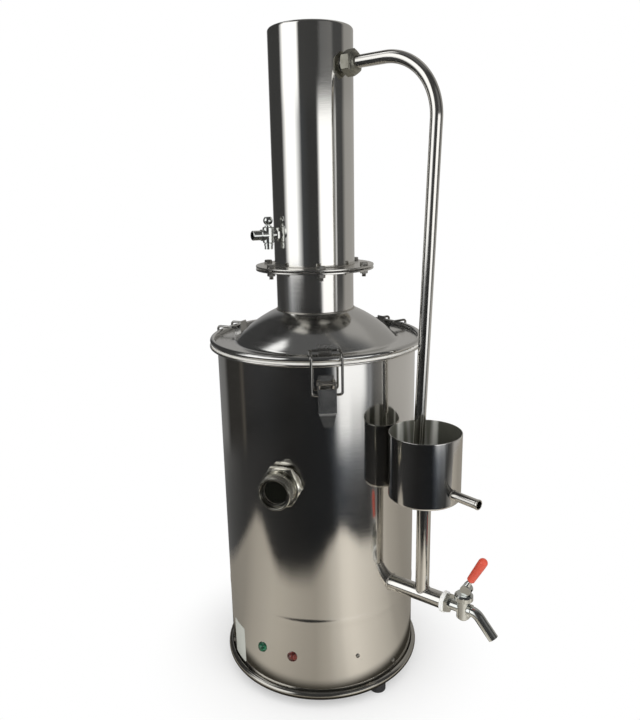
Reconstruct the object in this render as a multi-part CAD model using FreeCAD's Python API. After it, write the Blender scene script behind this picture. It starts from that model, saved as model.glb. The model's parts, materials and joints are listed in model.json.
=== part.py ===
import FreeCAD
import Part
import math
import os

# Electric water distiller in polished stainless steel, in millimetres.
# Z is the boiler's axis and points up; z = 0 is the surface that the feet stand on.
# Azimuths are in degrees from the front (-Y) towards the right (+X).
# A fitting is first built in the plane of its own azimuth, with X pointing out of the
# boiler's axis and Y along the wall, and is then turned into place.

V = FreeCAD.Vector
UP = V(0, 0, 1)
OUT = V(1, 0, 0)
ACROSS = V(0, 1, 0)
CENTRE = V(0, 0, 0)

# ---------------------------------------------------------------- clearances
seat_gap = 0.05          # between pieces that are pushed or screwed together
running_gap = 0.06       # radial, round a pin or stem that turns
free_gap = 0.3           # between moving pieces that pass each other

# ---------------------------------------------------------------- feet and base
foot_radius = 10.0
foot_drop = 12.0         # how far a foot stands below the base ring
foot_circle = 112.5
foot_azimuth = 37.0
foot_boss_radius = 3.5   # of the foot's top, which passes the ring's inner lip
foot_stud_radius = 2.0
ring_height = 10.0
ring_width = 6.0
lip_width = 3.2
lip_thickness = 2.0
cover_thickness = 1.2
cover_rim_height = 26.0

# ---------------------------------------------------------------- boiler
shell_radius = 120.0
shell_wall = 1.2
shell_top = 425.0        # underside of the boiler's flange
flange_width = 9.0
flange_thickness = 2.5
floor_level = 112.5      # top of the false bottom
floor_thickness = 1.5
floor_rim = 10.0
bead_height = 0.5        # the rolled bead over the false bottom
bead_half = 3.5

# ---------------------------------------------------------------- sight window
sight_azimuth = -19.5
sight_level = 287.5
sight_tube_radius = 15.0
sight_bore = 11.5
sight_tube_reach = 15.0  # beyond the shell
sight_boss_radius = 20.0
sight_boss_height = 3.0
lock_nut_flats = 44.0
lock_nut_width = 8.0
cap_radius = 19.0
cap_lip = 2.0            # thickness of the lip that holds the glass
cap_rim = 4.0            # of the cap's edge in front of its lip
cap_recess = 16.5        # radius inside that edge
window_radius = 13.8
glass_thickness = 4.0
gasket_thickness = 1.5

# ---------------------------------------------------------------- lamps and label
lamp_level = 66.5
lamp_radius = 5.6
lamp_height = 5.0
lamp_edge = 1.3          # height of the lens where its dome starts
lamp_body_radius = 4.6
lamp_body_length = 24.0
green_azimuth = -37.5
red_azimuth = -17.6
label_from, label_to = -68.0, -54.0
label_bottom, label_top = 26.0, 74.0
label_thickness = 0.3

# ---------------------------------------------------------------- heater and wiring
heater_count = 3
heater_circle = 55.0
heater_radius = 4.0
heater_leg_half = 14.0
heater_top = 190.0
heater_azimuth = 100.0
fitting_radius = 7.8
fitting_flange = 10.5
terminal_azimuth = 20.4
terminal_level = 64.0
gland_azimuth = 180.0
gland_level = 57.0
gland_bore = 4.5
gland_radius = 8.0
screw_radius = 1.4
screw_head_radius = 2.4
screw_head_height = 1.6
screw_head_edge = 0.7
skirt_screw_azimuth = 47.0
skirt_screw_level = 33.0

# ---------------------------------------------------------------- drain, cup and tap
feed_azimuth = 47.0      # of the cup's axis, which is also the standpipe's
drain_level = 145.0
drain_radius = 9.3
drain_wall = 1.6
drain_beyond = 26.5      # of the pipe's mouth past the standpipe's axis
drain_swing = 6.0        # of the drain and the tap round the standpipe, to the right
cup_radius = 40.5
cup_wall = 1.0
cup_gap = 0.5            # between the cup and the shell
cup_bottom = 269.0
cup_height = 76.0
standpipe_radius = 8.0
standpipe_wall = 1.0
nozzle_radius = 5.3
nozzle_wall = 0.9
nozzle_rise = 14.0       # of its axis over the cup's underside
nozzle_reach = 33.0
nozzle_swing = -6.0      # round the cup's axis
spigot_step = 0.2        # a tube's end is turned down by this where it enters a wall
spigot_show = 0.5        # of the turned-down end that stays outside the wall
cup_at = shell_radius + cup_gap + cup_radius
drain_end = cup_at + drain_beyond

washer_radius = 12.0
washer_thickness = 5.0
shank_radius = drain_radius - drain_wall - seat_gap
shank_length = 16.0
hex_across_flats = 20.0
hex_width = 4.5
barrel_offset = 25.5     # barrel axis beyond the pipe's mouth
barrel_radius = 7.5
barrel_below, barrel_above = 13.0, 14.0
waterway = 4.4
bonnet_radius = 10.5
bonnet_height = 8.0
stem_radius = 2.5
spout_radius = 5.8
spout_bend = 14.0
spout_out, spout_reach = 15.5, 36.5
spout_drop = 24.0
cam_radius = 6.0
cam_throw = 3.4
cam_width = 9.0
cam_gap = 0.1
tongue = 3.0
tongue_reach = 4.0       # of the fork's hollow round the tongue's end
lever_pin_radius = 1.5
lever_lean = 27.0        # from upright, outwards
lever_rod = 2.2
grip_start, grip_end = 16.0, 50.5
grip_radius = 5.2

# ---------------------------------------------------------------- lid and latches
gasket_height = 2.0
lid_wall = 1.2
roll_radius = 3.2
brim_width = 23.0        # from the dome's foot out to the shell's line
dome_foot_rise = 2.5     # of the dome's foot over the brim's underside
cove_run = 3.6           # of the hollow between brim and dome
dome_rise = 35.0
dome_crown = 3.0         # bulge of the dome over a straight cone
neck_radius = 46.0
neck_wall = 1.2
neck_top = 514.0
joint_radius = 70.0      # the bolted flanges
joint_thickness = 2.0
joint_gasket = 1.5
bolt_count = 6
bolt_azimuth = 6.5
bolt_circle = 62.0
bolt_radius = 2.5
bolt_flats = 8.0

latch_azimuths = {"front": 4.5, "right": 124.5, "left": -115.5}
lever_pivot_out = 3.83   # beyond the shell
lever_pivot_level = 405.74
latch_crank = 12.5       # from the lever's pivot to the bail's pivot
latch_crank_angle = 35.0 # of that line from straight down, outwards, when closed
bail_wire = 1.5
bail_half_width = 16.4
bail_bend = 3.4
bail_hook_reach = 23.5   # crossbar inwards of the legs
bail_top_level = 438.3   # of the crossbar
lever_half_width = 9.75
lever_sheet = 1.2
lever_face_gap = 0.7     # between the bail's wire and the lever's plate
lever_top_drop = 3.2     # of the plate's top edge under the lever's pivot
lever_straight = 27.5
lip_drop, lip_out = 12.5, 6.5
latch_boss = 3.3
latch_pin_radius = 1.5
base_thickness = 1.4
base_rise, base_drop = 8.0, 22.0
seat_slope = 28.0        # of the catch's seat, rising outwards
saddle_gap = 0.3
catch_half_width = 7.0

# ---------------------------------------------------------------- condenser
tower_radius = 47.5
tower_wall = 1.2
tower_top = 772.0
cap_rise = 6.0
cap_knee = 3.0           # radius of the cap's edge
cap_crown = 1.5
plate_thickness = 2.0
riser_radius = 15.0
tube_radius = 6.0
tube_wall = 0.8
tube_count = 6
tube_circle = 31.0
lower_plate = 540.0
upper_plate = 748.0
outlet_azimuth = -150.0
outlet_level = 532.5
outlet_radius = 5.0
outlet_reach = 24.0

# ---------------------------------------------------------------- return pipe
return_azimuth = 49.3
return_level = 735.0
return_radius = 6.5
return_wall = 1.0
return_bend = 62.0
return_inset = 12.35     # of the pipe's end, inwards of the cup's axis
return_lean = 2.28       # of the long run, inwards going down
return_dip = 18.0        # of its end below the cup's rim
stub_radius = 9.0
stub_reach = 6.5
union_flats = 24.0
union_from, union_length = 4.0, 14.0

# ---------------------------------------------------------------- cooling water cock
cock_azimuth = -62.0
cock_level = 556.0
cock_offset = 11.5       # plug axis beyond the tower's wall
cock_barrel = 6.5
cock_half_height = 9.0
plug_radius = 4.0
cock_bore = 2.6
cock_shank = 5.0
hose_radius = 5.5
hose_reach = 20.0        # nozzle end beyond the plug's axis
knob_radius = 5.4
knob_level = 572.0
cock_nut_radius = 4.8

nodes = {}


# ================================================================ shape helpers
def turned(shape, azimuth):
    """A copy of a shape carried from the X axis round to an azimuth."""
    copy = shape.copy()
    copy.rotate(CENTRE, UP, azimuth - 90.0)
    return copy


def swung(shape, angle):
    """A copy turned about the standpipe by an angle, then carried to the feed group's place."""
    copy = shape.copy()
    copy.rotate(V(cup_at, 0, 0), UP, angle)
    return turned(copy, feed_azimuth)


def ring_of(shape, azimuth, count):
    """Equally spaced copies of a shape round the boiler's axis."""
    return [turned(shape, azimuth + 360.0 * i / count) for i in range(count)]


def post(radius, z0, z1, x=0.0, y=0.0):
    """An upright cylinder."""
    return Part.makeCylinder(radius, z1 - z0, V(x, y, z0), UP)


def bar(radius, x0, x1, z, y=0.0):
    """A cylinder along X at height z."""
    return Part.makeCylinder(radius, x1 - x0, V(x0, y, z), OUT)


def pipe_up(outer, inner, z0, z1, x=0.0):
    """An upright tube."""
    return post(outer, z0, z1, x).cut(post(inner, z0 - 1, z1 + 1, x))


def pipe_out(outer, inner, x0, x1, z):
    """A tube along X at height z."""
    return bar(outer, x0, x1, z).cut(bar(inner, x0 - 1, x1 + 1, z))


def outline(start, *steps):
    """A face in the XZ plane. A step is a point, or a pair (point on an arc, its end)."""
    edges = []
    here = V(start[0], 0, start[1])
    first = here
    for step in steps:
        if isinstance(step[0], tuple):
            middle = V(step[0][0], 0, step[0][1])
            end = V(step[1][0], 0, step[1][1])
            edges.append(Part.Arc(here, middle, end).toShape())
        else:
            end = V(step[0], 0, step[1])
            edges.append(Part.LineSegment(here, end).toShape())
        here = end
    if here.distanceToPoint(first) > 1e-6:
        edges.append(Part.LineSegment(here, first).toShape())
    return Part.Face(Part.Wire(edges))


def lathe_up(face):
    """A face of the XZ plane turned about Z."""
    return face.revolve(CENTRE, UP, 360)


def lathe_out(face, z):
    """A face drawn with X along the axis and Z as the radius, turned about X at height z."""
    solid = face.revolve(CENTRE, OUT, 360)
    solid.translate(V(0, 0, z))
    return solid


def slab(face, y0, y1):
    """A face of the XZ plane given a width from y0 to y1."""
    solid = face.extrude(V(0, y1 - y0, 0))
    solid.translate(V(0, y0, 0))
    return solid


def hexagon(flats, height, base, axis=UP):
    """A hexagonal prism from a base point along an axis."""
    corner = flats / 2 / math.cos(math.pi / 6)
    points = []
    for i in range(7):
        angle = math.pi / 3 * i
        points.append(V(corner * math.cos(angle), corner * math.sin(angle), 0))
    prism = Part.Face(Part.makePolygon(points)).extrude(V(0, 0, height))
    prism.Placement = FreeCAD.Placement(base, FreeCAD.Rotation(UP, axis))
    return prism


def swept(points, bend, radius):
    """A round rod along straight runs joined by tangent arcs of one bend radius."""
    edges = []
    here = points[0]
    for before, corner, after in zip(points, points[1:], points[2:]):
        way_in = (corner - before).normalize()
        way_out = (after - corner).normalize()
        half_turn = way_in.getAngle(way_out) / 2
        back = bend * math.tan(half_turn)
        start = corner - way_in * back
        end = corner + way_out * back
        inward = (way_out - way_in).normalize()
        middle = corner + inward * (bend / math.cos(half_turn) - bend)
        edges.append(Part.LineSegment(here, start).toShape())
        edges.append(Part.Arc(start, middle, end).toShape())
        here = end
    edges.append(Part.LineSegment(here, points[-1]).toShape())
    way = points[1] - points[0]
    section = Part.Wire([Part.Circle(points[0], way, radius).toShape()])
    return Part.Wire(edges).makePipeShell([section], True, True)


def filled_shell():
    """The boiler's body as a full cylinder, for cutting seats to its wall."""
    return post(shell_radius + seat_gap, 0, shell_top)


def halfway_up(base, rise):
    """Height, at half its base radius, of a spherical cap of a base radius and a rise."""
    ball = (base * base + rise * rise) / (2 * rise)
    return math.sqrt(ball * ball - base * base / 4) - (ball - rise)


def pan_screw(reach):
    """A pan-head screw along X: the head stands on the shell, the shank goes inwards."""
    rim = shell_radius + screw_head_edge
    rise = screw_head_height - screw_head_edge
    head = outline(
        (shell_radius + seat_gap, 0),
        (shell_radius + seat_gap, screw_head_radius),
        (rim, screw_head_radius),
        ((rim + halfway_up(screw_head_radius, rise), screw_head_radius / 2), (rim + rise, 0)),
    )
    return lathe_out(head, 0).fuse(bar(screw_radius, shell_radius - reach, shell_radius + 1, 0))


# ================================================================ base
def make_base():
    ring_bottom = foot_drop
    shell_bottom = ring_bottom + lip_thickness
    inside = shell_radius + seat_gap
    outside = inside + ring_width
    top = ring_bottom + ring_height
    # The polished hoop is D-shaped outside and carries the shell on an inner lip.
    hoop = outline(
        (shell_radius - lip_width, ring_bottom),
        (outside - 3.5, ring_bottom),
        ((outside, ring_bottom + ring_height / 2), (outside - 3.5, top)),
        (inside + 0.8, top),
        (inside, top - 1.0),
        (inside, shell_bottom),
        (shell_radius - lip_width, shell_bottom),
    )
    nodes["base_ring"] = [lathe_up(hoop)]

    # A shallow pan closes the wiring space; its rim stands inside the shell.
    rim = shell_radius - shell_wall - free_gap
    pan = outline(
        (0, shell_bottom),
        (rim, shell_bottom),
        (rim, shell_bottom + cover_rim_height),
        (rim - cover_thickness, shell_bottom + cover_rim_height),
        (rim - cover_thickness, shell_bottom + cover_thickness),
        (0, shell_bottom + cover_thickness),
    )
    cover = lathe_up(pan)
    stud_hole = post(foot_stud_radius + 0.2, 0, shell_bottom + 5, foot_circle)
    screw_hole = bar(screw_radius + 0.1, rim - 5, rim + 5, skirt_screw_level)
    for hole in ring_of(stud_hole, foot_azimuth, 3) + ring_of(screw_hole, skirt_screw_azimuth, 3):
        cover = cover.cut(hole)
    nodes["bottom_cover"] = [cover]

    # Each foot is a rubber buffer bonded to a threaded stud, with a nut inside the pan.
    buffer = outline(
        (0, 0),
        (foot_radius - 0.4, 0),
        (foot_radius, 0.4),
        (foot_radius, foot_drop - 1.5),
        (foot_radius - 1.5, foot_drop - seat_gap),
        (foot_boss_radius, foot_drop - seat_gap),
        (foot_boss_radius, shell_bottom),
        (0, shell_bottom),
    )
    foot = lathe_up(buffer)
    foot.translate(V(foot_circle, 0, 0))
    socket = shell_bottom - 6
    foot = foot.cut(post(foot_stud_radius, socket, shell_bottom + 1, foot_circle))
    nodes["rubber_feet"] = ring_of(foot, foot_azimuth, 3)
    stud = post(foot_stud_radius, socket, shell_bottom + 9, foot_circle)
    nut = hexagon(7, 3.2, V(foot_circle, 0, shell_bottom + cover_thickness))
    nut = nut.cut(post(foot_stud_radius, 0, shell_bottom + 20, foot_circle))
    nodes["foot_studs"] = ring_of(stud, foot_azimuth, 3) + ring_of(nut, foot_azimuth, 3)

    reach = shell_wall + free_gap + cover_thickness + 4
    skirt = pan_screw(reach)
    skirt.translate(V(0, 0, skirt_screw_level))
    screws = ring_of(skirt, skirt_screw_azimuth, 3)
    terminal = pan_screw(reach)
    terminal.translate(V(0, 0, terminal_level))
    screws.append(turned(terminal, terminal_azimuth))
    nodes["case_screws"] = screws


# ================================================================ boiler
def make_boiler():
    bottom = foot_drop + lip_thickness
    inner = shell_radius - shell_wall
    bead = shell_radius + bead_height
    level = floor_level
    # Rolled sheet with a bead at the false bottom and a flange turned out at the top.
    wall = outline(
        (inner, bottom),
        (shell_radius, bottom),
        (shell_radius, level - bead_half),
        ((bead, level), (shell_radius, level + bead_half)),
        (shell_radius, shell_top - 2.0),
        ((shell_radius + 0.6, shell_top - 0.6), (shell_radius + 2.0, shell_top)),
        (shell_radius + flange_width - 0.6, shell_top),
        ((shell_radius + flange_width, shell_top + flange_thickness / 2),
         (shell_radius + flange_width - 0.6, shell_top + flange_thickness)),
        (inner, shell_top + flange_thickness),
    )
    shell = lathe_up(wall)

    def hole(radius, azimuth, z):
        return turned(bar(radius, inner - 8, shell_radius + 8, z), azimuth)

    cuts = [
        hole(sight_tube_radius + seat_gap, sight_azimuth, sight_level),
        swung(bar(drain_radius + seat_gap, inner - 8, shell_radius + 8, drain_level), drain_swing),
        hole(lamp_body_radius + seat_gap, green_azimuth, lamp_level),
        hole(lamp_body_radius + seat_gap, red_azimuth, lamp_level),
        hole(gland_radius + seat_gap, gland_azimuth, gland_level),
        hole(screw_radius + 0.1, terminal_azimuth, terminal_level),
    ]
    cuts += [hole(screw_radius + 0.1, skirt_screw_azimuth + 120 * i, skirt_screw_level) for i in range(3)]
    for cut in cuts:
        shell = shell.cut(cut)
    nodes["boiler_shell"] = [shell]

    rim = inner - seat_gap
    low = level - floor_rim
    # The false bottom is a pressed disc with its rim turned down and welded to the wall.
    disc = outline(
        (0, level - floor_thickness),
        (rim - 5.5, level - floor_thickness),
        ((rim - 2.7, level - 2.7), (rim - floor_thickness, level - 5.5)),
        (rim - floor_thickness, low),
        (rim, low),
        (rim, level - 5.5),
        ((rim - 1.6, level - 1.6), (rim - 5.5, level)),
        (0, level),
    )
    floor = lathe_up(disc)
    for side in (-1, 1):
        leg = post(fitting_radius + 0.1, low, level + 5, heater_circle, side * heater_leg_half)
        for cut in ring_of(leg, heater_azimuth, heater_count):
            floor = floor.cut(cut)
    nodes["boiler_floor"] = [floor]


def make_heater():
    """Immersion loops, each with two legs sealed through the false bottom."""
    level = floor_level
    under = level - floor_thickness
    tail = under - 16
    top = heater_top
    path = [
        V(heater_circle, -heater_leg_half, tail),
        V(heater_circle, -heater_leg_half, top),
        V(heater_circle, heater_leg_half, top),
        V(heater_circle, heater_leg_half, tail),
    ]
    loop = swept(path, heater_leg_half - 0.5, heater_radius)
    nodes["heating_elements"] = ring_of(loop, heater_azimuth, heater_count)
    fittings = []
    for side in (-1, 1):
        y = side * heater_leg_half
        body = post(fitting_flange, level, level + 4, heater_circle, y)
        body = body.fuse(post(fitting_radius, under - 9, level, heater_circle, y))
        bore = post(heater_radius + seat_gap, under - 20, level + 10, heater_circle, y)
        nut = hexagon(19, 5, V(heater_circle, y, under - 5))
        nut = nut.cut(post(fitting_radius, under - 20, level, heater_circle, y))
        fittings += ring_of(body.cut(bore), heater_azimuth, heater_count)
        fittings += ring_of(nut, heater_azimuth, heater_count)
    nodes["heater_fittings"] = fittings


def make_wiring():
    inner = shell_radius - shell_wall
    # A moulded block with a row of terminal wells, on a foot that the screw pulls to the wall.
    block = Part.makeBox(14, 44, 18, V(inner - 22, -22, terminal_level - 9))
    for i in range(4):
        y = -15 + 10 * i
        block = block.cut(Part.makeBox(9, 7, 9, V(inner - 19.5, y - 3.5, terminal_level)))
    foot = bar(6, inner - 10, inner + 1, terminal_level)
    block = block.fuse(foot).cut(bar(screw_radius + seat_gap, inner - 10, inner + 2, terminal_level))
    block = block.common(post(inner - seat_gap, 0, shell_top))
    nodes["terminal_block"] = [turned(block, terminal_azimuth)]

    wall = shell_radius
    # Gland: a saddle washer face, a hexagon and a rounded clamping nut, all on one bore.
    body = outline(
        (wall - 14, 0),
        (wall - 14, gland_radius),
        (wall - 2, gland_radius),
        (wall - 2, gland_radius + 4.5),
        (wall + 1.6, gland_radius + 4.5),
        (wall + 1.6, gland_radius + 1.0),
        (wall + 7.5, gland_radius + 1.0),
        (wall + 7.5, gland_radius + 2.0),
        (wall + 15.0, gland_radius + 2.0),
        ((wall + 18.5, gland_radius + 0.2), (wall + 20.0, gland_radius - 3.0)),
        (wall + 20.0, 0),
    )
    gland = lathe_out(body, gland_level)
    hexes = hexagon(22, 5.5, V(wall + 1.6, 0, gland_level), OUT)
    outer = gland.fuse(hexes).cut(filled_shell())
    thread = bar(gland_radius, wall - 14, wall + 1.0, gland_level)
    gland = outer.fuse(thread).cut(bar(gland_bore, wall - 20, wall + 30, gland_level))
    nodes["cable_gland"] = [turned(gland, gland_azimuth)]
    nut = hexagon(22, 4, V(inner - 6.2, 0, gland_level), OUT)
    nut = nut.cut(bar(gland_radius + seat_gap, inner - 20, wall, gland_level))
    nodes["panel_nuts"] = [turned(nut, gland_azimuth)]


def make_lamps():
    inner = shell_radius - shell_wall
    wall = shell_radius
    brow = wall + lamp_edge
    rise = lamp_height - lamp_edge
    lens = outline(
        (wall - 2, 0),
        (wall - 2, lamp_radius + 0.7),
        (brow - 0.3, lamp_radius + 0.7),
        (brow, lamp_radius),
        ((brow + halfway_up(lamp_radius, rise), lamp_radius / 2), (brow + rise, 0)),
    )
    lens = lathe_out(lens, lamp_level).cut(filled_shell())
    back = wall + seat_gap - 0.2
    body = bar(lamp_body_radius, back - lamp_body_length, back, lamp_level)
    tail = bar(lamp_body_radius - 1.6, back - lamp_body_length - 5, back - lamp_body_length, lamp_level)
    nut = hexagon(12, 3, V(inner - 4.2, 0, lamp_level), OUT)
    nut = nut.cut(bar(lamp_body_radius + seat_gap, inner - 20, wall, lamp_level))
    nodes["green_lamp_lens"] = [turned(lens, green_azimuth)]
    nodes["red_lamp_lens"] = [turned(lens, red_azimuth)]
    azimuths = (green_azimuth, red_azimuth)
    nodes["lamp_bodies"] = [turned(body.fuse(tail), a) for a in azimuths]
    nodes["panel_nuts"] += [turned(nut, a) for a in azimuths]

    inside = shell_radius + seat_gap
    strip = outline(
        (inside, label_bottom),
        (inside + label_thickness, label_bottom),
        (inside + label_thickness, label_top),
        (inside, label_top),
    )
    plate = strip.revolve(CENTRE, UP, label_to - label_from)
    nodes["rating_plate"] = [turned(plate, label_from)]


def make_sight_window():
    wall = shell_radius
    end = wall + sight_tube_reach
    # Threaded tube through the wall, with a boss that is welded to the curved sheet.
    boss = bar(sight_boss_radius, wall - 4, wall + sight_boss_height, sight_level).cut(filled_shell())
    tube = bar(sight_tube_radius, wall - 7, end, sight_level)
    port = boss.fuse(tube).cut(bar(sight_bore, wall - 20, end + 5, sight_level))
    nodes["sight_port"] = [turned(port, sight_azimuth)]

    # A hexagon nut behind the cap, its front corners turned off.
    start = wall + sight_boss_height
    nut_front = start + lock_nut_width
    thread = sight_tube_radius + seat_gap
    corner = lock_nut_flats / 2 / math.cos(math.pi / 6)
    turning = lathe_out(outline(
        (start, thread),
        (start, corner),
        (nut_front - 2.0, corner),
        (nut_front, lock_nut_flats / 2 - 0.5),
        (nut_front, thread),
    ), sight_level)
    nut = hexagon(lock_nut_flats, lock_nut_width, V(start, 0, sight_level), OUT).common(turning)
    nodes["sight_lock_nut"] = [turned(nut, sight_azimuth)]

    seat = end + 2 * gasket_thickness + glass_thickness
    lip = seat + cap_lip
    front = lip + cap_rim
    back = nut_front + free_gap
    # The cap screws over the tube and clamps gasket, glass and gasket behind its lip.
    cap = outline(
        (back, thread),
        (back, cap_radius - 0.8),
        (back + 0.8, cap_radius),
        (front - 0.8, cap_radius),
        (front, cap_radius - 0.8),
        (front, cap_recess),
        (lip, cap_recess),
        (lip, window_radius),
        (seat, window_radius),
        (seat, thread),
    )
    nodes["sight_cap"] = [turned(lathe_out(cap, sight_level), sight_azimuth)]
    disc = sight_tube_radius - 0.2
    glass_at = end + gasket_thickness
    glass = bar(disc, glass_at, glass_at + glass_thickness, sight_level)
    nodes["sight_glass"] = [turned(glass, sight_azimuth)]
    rear = pipe_out(disc, sight_bore, end, glass_at, sight_level)
    fore = pipe_out(disc, window_radius, seat - gasket_thickness, seat, sight_level)
    nodes["sight_gaskets"] = [turned(rear, sight_azimuth), turned(fore, sight_azimuth)]


# ================================================================ drain, cup and tap
def make_feed():
    rim = cup_bottom + cup_height
    drain_bore = drain_radius - drain_wall

    drain = pipe_out(drain_radius, drain_bore, shell_radius - 5, drain_end, drain_level)
    drain = drain.cut(post(standpipe_radius - standpipe_wall, drain_level, cup_bottom, cup_at))
    nodes["drain_pipe"] = [swung(drain, drain_swing)]

    riser = pipe_up(standpipe_radius, standpipe_radius - standpipe_wall,
                    drain_level, cup_bottom + cup_wall + 1, cup_at)
    riser = riser.cut(bar(drain_radius, shell_radius, drain_end, drain_level))
    nodes["standpipe"] = [swung(riser, drain_swing)]

    inner = cup_radius - cup_wall
    profile = outline(
        (standpipe_radius + seat_gap, cup_bottom),
        (cup_radius - 2.5, cup_bottom),
        ((cup_radius - 0.73, cup_bottom + 0.73), (cup_radius, cup_bottom + 2.5)),
        (cup_radius, rim),
        (inner, rim),
        (inner, cup_bottom + 2.5),
        ((inner - 0.44, cup_bottom + cup_wall + 0.44), (inner - 1.5, cup_bottom + cup_wall)),
        (standpipe_radius + seat_gap, cup_bottom + cup_wall),
    )
    cup = lathe_up(profile)
    cup.translate(V(cup_at, 0, 0))
    level = cup_bottom + nozzle_rise
    side = cup_at + cup_radius
    spigot = nozzle_radius - spigot_step
    cup = cup.cut(bar(spigot + seat_gap, cup_at, side + 5, level))
    nodes["feed_cup"] = [swung(cup, nozzle_swing)]

    inside = side - cup_wall - 1.5
    nozzle = bar(spigot, inside, side + 1, level)
    nozzle = nozzle.fuse(bar(nozzle_radius, side + spigot_show, side + nozzle_reach, level))
    nozzle = nozzle.cut(bar(nozzle_radius - nozzle_wall, inside - 1, side + nozzle_reach + 1, level))
    nodes["overflow_nozzle"] = [swung(nozzle, nozzle_swing)]


def tap_places():
    """Axis of the tap's barrel, top of its bonnet and height of the lever's pin."""
    barrel_at = drain_end + barrel_offset
    bonnet_top = drain_level + barrel_above + bonnet_height - 3
    pin_level = bonnet_top + cam_radius - cam_throw / 2 + cam_gap
    return barrel_at, bonnet_top, pin_level


def make_tap():
    barrel_at, bonnet_top, pin_level = tap_places()
    face = drain_end + washer_thickness
    washer = pipe_out(washer_radius, shank_radius + seat_gap, drain_end, face, drain_level)
    outer = [e for e in washer.Edges if e.BoundBox.ZLength > 2 * washer_radius - 0.1]
    washer = washer.makeChamfer(0.8, outer)
    nodes["tap_washer"] = [swung(washer, drain_swing)]

    # Shank in the pipe's mouth, hexagon, neck, upright barrel and a spout that turns down.
    barrel_top = drain_level + barrel_above
    shank = bar(shank_radius, drain_end - shank_length, face, drain_level)
    spanner = hexagon(hex_across_flats, hex_width, V(face, 0, drain_level), OUT)
    neck = bar(6.2, face, barrel_at, drain_level)
    foot = outline(
        (0, drain_level - barrel_below),
        (barrel_radius - 2.5, drain_level - barrel_below),
        (barrel_radius, drain_level - barrel_below + 2.5),
        (barrel_radius, barrel_top),
        (0, barrel_top),
    )
    barrel = lathe_up(foot)
    barrel.translate(V(barrel_at, 0, 0))
    mouth = V(barrel_at + spout_reach, 0, drain_level - spout_drop)
    way = [V(barrel_at, 0, drain_level), V(barrel_at + spout_out, 0, drain_level), mouth]
    spout = swept(way, spout_bend, spout_radius)
    knuckle = lathe_out(outline(
        (barrel_at + barrel_radius - 1, 0),
        (barrel_at + barrel_radius - 1, spout_radius + 1.2),
        (barrel_at + barrel_radius + 2.2, spout_radius + 1.2),
        (barrel_at + barrel_radius + 3.4, 0),
    ), drain_level)
    body = shank.fuse([spanner, neck, barrel, spout, knuckle])
    beyond = mouth + (mouth - way[1]).normalize() * 3
    seat = drain_level - 5
    body = body.cut(bar(waterway, drain_end - shank_length - 1, barrel_at, drain_level))
    body = body.cut(swept([way[0], way[1], beyond], spout_bend, waterway))
    body = body.cut(post(barrel_radius - 1.8, seat, barrel_top + 1, barrel_at))
    nodes["tap_body"] = [swung(body, drain_swing)]

    # The bonnet screws over the barrel and guides the stem.
    skirt = bonnet_top - bonnet_height
    ceiling = barrel_top + seat_gap
    cover = outline(
        (stem_radius + running_gap, bonnet_top),
        (bonnet_radius - 2.2, bonnet_top),
        (bonnet_radius, bonnet_top - 2.2),
        (bonnet_radius, skirt + 1.0),
        (bonnet_radius - 1.0, skirt),
        (barrel_radius + seat_gap, skirt),
        (barrel_radius + seat_gap, ceiling),
        (stem_radius + running_gap, ceiling),
    )
    bonnet = lathe_up(cover)
    bonnet.translate(V(barrel_at, 0, 0))
    for i in range(8):
        flute = post(1.2, skirt - 1, bonnet_top + 1, bonnet_radius + 0.5)
        flute.rotate(CENTRE, UP, 45 * i + 22.5)
        flute.translate(V(barrel_at, 0, 0))
        bonnet = bonnet.cut(flute)
    nodes["tap_bonnet"] = [swung(bonnet, drain_swing)]

    # The stem hangs from the lever's pin by a flat tongue and carries the rubber seal.
    bell = seat + free_gap
    top = pin_level + 2.8
    stem = post(stem_radius, bell + 2.5, top, barrel_at)
    shoulder = bonnet_top - cam_throw - free_gap
    for y in (tongue / 2, -tongue / 2 - 5):
        stem = stem.cut(Part.makeBox(10, 5, 20, V(barrel_at - 5, y, shoulder)))
    stem = stem.fuse(post(stem_radius + 1.4, bell + 6.5, bell + 8.0, barrel_at))
    hole = Part.makeCylinder(lever_pin_radius + running_gap, 20, V(barrel_at, -10, pin_level), ACROSS)
    nodes["tap_stem"] = [swung(stem.cut(hole), drain_swing)]
    cone = outline(
        (0, bell),
        (3.2, bell),
        (barrel_radius - 2.4, bell + 3.0),
        (barrel_radius - 2.4, bell + 5.0),
        (stem_radius, bell + 6.5),
        (stem_radius, bell + 2.5),
        (0, bell + 2.5),
    )
    seal = lathe_up(cone)
    seal.translate(V(barrel_at, 0, 0))
    nodes["tap_seal"] = [swung(seal, drain_swing)]


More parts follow.
